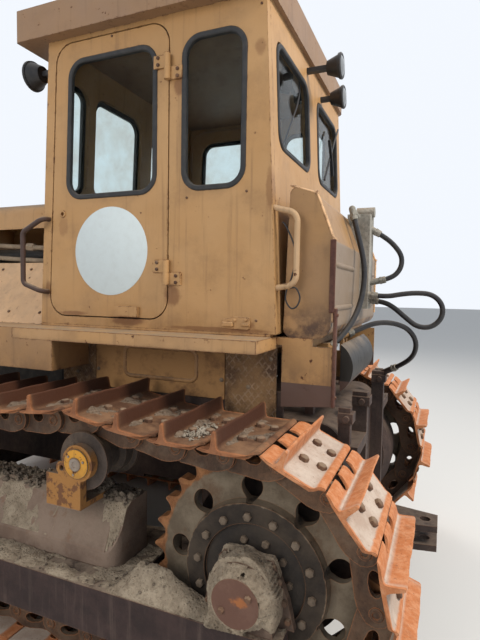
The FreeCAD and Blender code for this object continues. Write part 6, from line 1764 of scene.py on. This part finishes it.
    def latch(self) -> None:
        """The folded bracket low on the post behind the door, with its two bolts and its tongue."""
        form = Form()
        outline = rounded_outline(((0.147, 1.459), (0.278, 1.462), (0.278, 1.500), (0.215, 1.514),
                                   (0.147, 1.512)), [0.008] * 5, 4)
        frame = plane_frame((0.0, self.skin, 0.0), (1, 0, 0), (0, 0, 1))
        frame[:3, 2] = (0.0, 1.0, 0.0)
        slab(form, outline, frame, 0.006)
        block(form, (0.222, self.skin + 0.004, 1.470), (0.272, self.skin + 0.019, 1.490), 0.003)
        block(form, (0.150, self.skin + 0.004, 1.474), (0.182, self.skin + 0.014, 1.486), 0.002)
        bolts(form, ((0.165, self.skin + 0.006, 1.501), (0.216, self.skin + 0.006, 1.498)),
              (0, 1, 0), 0.0075, 0.006)
        form.build("post_latch", self.finish.paint, "body_paint")

    def wires(self) -> None:
        """The wire behind the rear handrail, the fan's cable and the wiper on its window."""
        form = Form()
        blade = np.array([(0.004, -0.008), (0.004, 0.008), (-0.004, 0.008), (-0.004, -0.008)])
        for points, section in (([(x, self.wire_y, z) for x, z in self.wire], circle(0.0035, 8)),
                                (self.fan_cable, circle(0.005, 8)),
                                (self.wiper_arm, circle(0.006, 8)), (self.wiper_blade, blade)):
            sweep(form, smooth_path(points, 6), section)
        form.build("cab_wires", self.finish.hose, "hose_rubber")

    def lamps(self) -> None:
        """A domed lens and a bezel on each lamp, seated in its rim."""
        lens, bezel = Form(), Form()
        lamps = [(place, (-1, 0, 0), 0.056) for place in self.rear_lamps]
        for side in Side:
            for x, y, z, radius in (self.cab_lamp, self.hood_lamp):
                lamps.append(((x, side.value * y, z), (1, 0, 0), radius))
        for place, way, radius in lamps:
            t = np.linspace(1.0, 0.0, 7)
            dome = [(0.9 * radius * k, 0.0005 + 0.012 * (1.0 - k * k)) for k in t]
            lathe(lens, [(0.9 * radius, -0.002)] + dome[:-1] + [(0.002, 0.0125)], place, way, 28)
            lathe(bezel, ((radius + 0.006, -0.010), (radius + 0.0075, -0.002),
                          (radius + 0.002, 0.0035), (0.91 * radius, 0.003), (0.89 * radius, -0.001),
                          (0.89 * radius, -0.006)), place, way, 28, caps=False)
        lens.build("lamp_lenses", self.finish.lens, "cab_glass")
        bezel.build("lamp_bezels", self.finish.black, "dark_plastic")

    def build(self) -> None:
        """Build the cab's small pieces."""
        self.seals()
        self.door_pieces()
        self.latch()
        self.wires()
        self.lamps()


# Tank, platform and rear


@dataclass
class Tank:
    """The tank's seam and ribs, the plates below the platform, and the pipes' fittings."""

    finish: Finishes
    nodes: dict[str, Piece]
    rear_face: float = -0.185
    seam_at: Pair = (0.655, 0.641)
    seam: tuple = ((0.0, 2.067), (-0.108, 2.030), (-0.1145, 2.022), (-0.186, 1.838),
                   (-0.1875, 1.826), (-0.1875, 1.50))
    rib_rows: Pair = (1.740, 1.558)
    rib_spans: tuple = ((-0.60, -0.18), (0.15, 0.60))
    bead: tuple = ((0.44, 1.20), (0.84, 1.20), (0.84, 1.345), (0.44, 1.345))
    bead_section: tuple = ((-0.011, -0.001), (-0.006, 0.005), (0.0, 0.0065), (0.006, 0.005),
                           (0.011, -0.001), (0.0, -0.003))
    # A dark block behind the plates' foot, painted shade for the dark gap under them: x, y and z
    # limits.
    apron: tuple = ((0.02, 1.16), (0.6205, 0.6338), (1.035, 1.190))
    plate_spots: tuple = ((1.132, 1.195), (0.179, 1.200), (0.047, 1.347), (0.046, 1.295),
                          (0.044, 1.186), (1.20, 1.33), (0.075, 1.33), (0.31, 1.22), (1.0, 1.22))

    def seams(self) -> None:
        """Two thin beads down each side near the rear edge, pale as a painted highlight, and a flat
        bar behind them.
        """
        form = Form()
        ring = circle(0.0045, 8)
        for side in Side:
            for y in self.seam_at:
                line = [(x, side.value * y, z) for x, z in self.seam]
                sweep(form, smooth_path(line, 5), ring)
        # The beads take the pale paint: a painted highlight along the tank's rear edge.
        form.build("tank_seams", self.finish.sun_paint, "body_paint")
        form = Form()
        block(form, (-0.2075, 0.640, 1.150), (-0.1945, 0.668, 1.560), 0.003)
        block(form, (-0.1985, 0.662, 1.540), (-0.1750, 0.670, 1.838), 0.003)
        bolts(form, [(-0.2075, 0.654, z) for z in (1.19, 1.53)], (-1, 0, 0), 0.007, 0.006)
        form.build("tank_strap", self.finish.strap, "dark_steel")

    def ribs(self) -> None:
        """Pressed ribs along the rear face: half-round bars with rounded ends."""
        form = Form()
        t = np.linspace(0.0, 1.0, 21)
        for z in self.rib_rows:
            for low, high in self.rib_spans:
                y = low + (high - low) * t
                round_end = np.sqrt(np.clip(1.0 - ((t - 0.5) / 0.5) ** 12, 0.0, 1.0)) * 0.9 + 0.1
                ring = circle(1.0, 10)
                net = np.zeros((len(t), 10, 3))
                net[..., 0] = self.rear_face + 0.002 + ring[None, :, 0] * 0.010 * round_end[:, None]
                net[..., 1] = y[:, None]
                net[..., 2] = z + ring[None, :, 1] * 0.013 * round_end[:, None]
                form.grid(net, loop_v=True, caps=True)
        form.build("tank_ribs", self.finish.tank_paint, "body_paint")

    def lower_plates(self) -> None:
        """The middle plate's pressed bead, its bolts, and a dark block behind its foot as painted
        shade.
        """
        bead, heads, apron = Form(), Form(), Form()
        for side in Side:
            s = side.value
            line = rounded_outline(self.bead, [0.035] * 4)
            path = np.stack([line[:, 0], np.full(len(line), s * 0.646), line[:, 1]], -1)
            trim(bead, path, (0, s, 0), self.bead_section)
            # The dark block stands for the shade under the plate.
            x, y, z = self.apron
            inner, outer = sorted(s * v for v in y)
            block(apron, (x[0], inner, z[0]), (x[1], outer, z[1]))
            fasten(heads, [self.nodes["lower_side_plates"], self.nodes["tank_cradle"]], side.word,
                   self.plate_spots, 0.010, 0.008)
        bead.build("plate_beads", self.finish.low_paint, "body_paint")
        heads.build("plate_bolts", self.finish.pale_bolt, "dark_steel")
        apron.build("plate_aprons", self.finish.frame, "frame_steel")

    def fittings(self) -> None:
        """A ferrule and a nut on each hose end."""
        form = Form()
        for _, points in Hoses(self.finish).routes.values():
            path = np.array(points)
            for here, there in ((path[0], path[1]), (path[-1], path[-2])):
                lathe(form, ((0.0145, 0.034), (0.0185, 0.032), (0.0190, 0.016), (0.0175, 0.014),
                             (0.0175, 0.0)), here, there - here, 16)
                lathe(form, ((0.022, 0.001), (0.0225, 0.003), (0.0225, 0.011), (0.022, 0.013)),
                      here, there - here, 6)
        form.build("hose_fittings", self.finish.bracket, "dark_steel")

    def build(self) -> None:
        """Build the tank's small pieces."""
        self.seams()
        self.ribs()
        self.lower_plates()
        self.fittings()


# Wheels


@dataclass
class Wheels:
    """Bolts and caps on the sprocket, its bearing stand, the carrier rollers and the idler."""

    finish: Finishes
    side: Side
    nodes: dict[str, Piece]
    shaft: float = 0.580
    carriers: tuple = ((0.750, 0.908), (1.720, 0.872))
    idler: Pair = (2.523, 0.555)
    rings: tuple = (
        # radius, count, first angle, head
        (0.225, 14, 84.0, 0.0165),
        (0.136, 10, 73.0, 0.0150),
    )
    stand_bolts: tuple = ((0.152, 0.490), (0.138, 0.552), (0.118, 0.622), (0.098, 0.668))
    hub_bolts: tuple = ((-0.048, 0.612), (0.048, 0.548))

    def heads(self) -> None:
        """Rings of bolt heads, each seated on the wheel it holds."""
        word, form = self.side.word, Form()
        for radius, count, first, size in self.rings:
            ring = ring_places((0.0, 0.0, self.shaft), radius, count, first)
            fasten(form, [self.nodes["sprocket_" + word]], word, ring[:, [0, 2]], size, 0.014)
        form.build("sprocket_bolts_" + word, self.finish.pale_bolt, "sprocket_steel")
        form = Form()
        stand = [self.nodes["track_frame_" + word]]
        fasten(form, stand, word, [(s * x, z) for x, z in self.stand_bolts for s in (1, -1)],
               0.0125, 0.012)
        fasten(form, stand, word, self.hub_bolts, 0.0115, 0.012)
        ring = ring_places((self.idler[0], 0.0, self.idler[1]), 0.085, 6, 30.0)
        fasten(form, [self.nodes["idler_" + word]], word, ring[:, [0, 2]], 0.011, 0.010)
        form.build("stand_bolts_" + word, self.finish.bolt, "frame_steel")

    def caps(self) -> None:
        """A painted cap on each carrier roller's shaft with a worn grey boss in its middle."""
        cap, boss = Form(), Form()
        s = self.side.value
        for x, z in self.carriers:
            lathe(cap, ((0.0615, 1.056), (0.0645, 1.058), (0.0645, 1.088), (0.0600, 1.098),
                        (0.0520, 1.1015), (0.0300, 1.1025), (0.0300, 1.1005)),
                  (x, 0.0, z), (0, s, 0), 40)
            lathe(boss, ((0.0280, 1.099), (0.0285, 1.104), (0.0255, 1.1075), (0.0120, 1.1085),
                         (0.0100, 1.1060), (0.0020, 1.1055)), (x, 0.0, z), (0, s, 0), 28)
            ring = ring_places((x, s * 1.1018, z), 0.044, 3, 40.0)
            bolts(boss, ring, (0, s, 0), 0.0060, 0.004)
        cap.build(f"roller_caps_{self.side.word}", self.finish.cap_yellow, "sprocket_steel")
        boss.build(f"roller_bosses_{self.side.word}", self.finish.steel, "sprocket_steel")

    def build(self) -> None:
        """Build the wheels' small pieces."""
        self.heads()
        self.caps()


# Engine bay and blade


@dataclass
class Engine:
    """What shows through the hood's side openings, and the bolts of the body and the blade."""

    finish: Finishes
    nodes: dict[str, Piece]
    top: float = 1.700
    first: float = 1.46
    pitch: float = 0.27
    count: int = 4
    cover_top: float = 0.150
    pale_ends: tuple = (((2.40, 1.915), (1.40, 1.848)), ((2.40, 1.840), (1.40, 1.772)))

    def covers(self, form: Form) -> None:
        """The block's flat top and a row of rocker covers, each with two nuts and two stubs."""
        block(form, (1.38, -0.20, self.top - 0.002), (2.66, 0.20, self.top + 0.06), 0.012)
        t = np.linspace(0.0, 1.0, 9)
        head = self.top + self.cover_top
        for i in range(self.count):
            x = self.first + 0.07 + i * self.pitch
            block(form, (x - 0.095, -0.10, self.top + 0.058), (x + 0.095, 0.10, head), 0.030)
            bolts(form, [(x, y, head) for y in (-0.05, 0.05)], (0, 0, 1), 0.012, 0.014)
            for s in (-1.0, 1.0):
                stub = np.stack([np.full(9, x), s * (0.17 + 0.13 * t),
                                 self.top + 0.03 + 0.09 * np.sin(t * math.pi / 2.0)], -1)
                sweep(form, stub, circle(0.026, 12))

    def pipes(self, dark: Form, pale: Form) -> None:
        """A log manifold on each side, two pale pipes beside it and their hexagon union."""
        for s in (-1.0, 1.0):
            line = smooth_path([(1.40, s * 0.31, 1.815), (1.75, s * 0.315, 1.825),
                                (2.10, s * 0.315, 1.825), (2.45, s * 0.31, 1.83)], 6)
            sweep(dark, line, circle(0.042, 16))
            for (xa, za), (xb, zb) in self.pale_ends:
                middle = ((xa + xb) / 2, s * 0.424, (za + zb) / 2 - 0.004)
                line = smooth_path([(xa, s * 0.40, za), middle, (xb + 0.08, s * 0.42, zb + 0.004),
                                    (xb, s * 0.36, zb - 0.02)], 8)
                sweep(pale, line, circle(0.014, 12))
            lathe(pale, ((0.018, -0.03), (0.024, -0.026), (0.024, 0.026), (0.018, 0.03)),
                  (1.685, s * 0.421, 1.868), (1, 0, 0.07), 6)

    def edge_heads(self) -> None:
        """A row of bolt heads along the cutting edge, which rise with the blade."""
        form = Form()
        fasten(form, [self.nodes["cutting_edge"]], "front",
               [(y, 0.135) for y in np.arange(-1.5, 1.51, 0.15)], 0.017, 0.010, (1, 0, 0.2))
        form.build("edge_bolts", self.finish.bolt, "edge_steel", "blade")

    def heads(self) -> None:
        """Bolt heads on the side panels, the radiator shell and the rear axle's housing."""
        form = Form()
        for side in Side:
            fasten(form, [self.nodes["engine_side_panels"]], side.word,
                   [(x, z) for x in np.arange(1.40, 2.75, 0.225) for z in (1.49, 1.73)],
                   0.009, 0.006, (0, 0.72 * side.value, 0.69))
        fasten(form, [self.nodes["radiator_shell"]], "front",
               [(y, z) for y in (-0.42, 0.42) for z in np.arange(0.95, 2.05, 0.2)], 0.010, 0.007)
        fasten(form, [self.nodes["rear_axle_housing"]], "rear",
               [(y, z) for y in np.arange(-0.5, 0.51, 0.125) for z in (0.40, 0.98)], 0.013, 0.011)
        form.build("body_bolts", self.finish.bolt, "dark_steel")

    def build(self) -> None:
        """Build the engine's top, its pipes and the body's bolts."""
        dark, pale = Form(), Form()
        self.covers(dark)
        self.pipes(dark, pale)
        dark.build("engine_top", self.finish.iron, "engine_iron")
        pale.build("engine_pipes", self.finish.pipe, "dark_steel")
        self.edge_heads()
        self.heads()


def main() -> None:
    """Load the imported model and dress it."""
    logging.basicConfig(level=logging.INFO, format="%(message)s")
    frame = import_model()
    studio = Studio()
    studio.camera()
    finish = Finishes()
    Hoses(finish).lay()
    LOG.info("camera and hoses")
    finish.dress(frame["nodes"])
    studio.light()
    nodes = frame["nodes"]
    pins = Loop().pins()
    for side in Side:
        Chain(finish, side, pins).build()
        Wheels(finish, side, nodes).build()
        Dirt(finish, side, nodes[f"track_frame_{side.word}"]).build()
        LOG.info("track %s", side.word)
    for part in (Cab, Tank, Engine):
        part(finish, nodes).build()
        LOG.info(part.__name__)


if __name__ == "__main__":
    main()
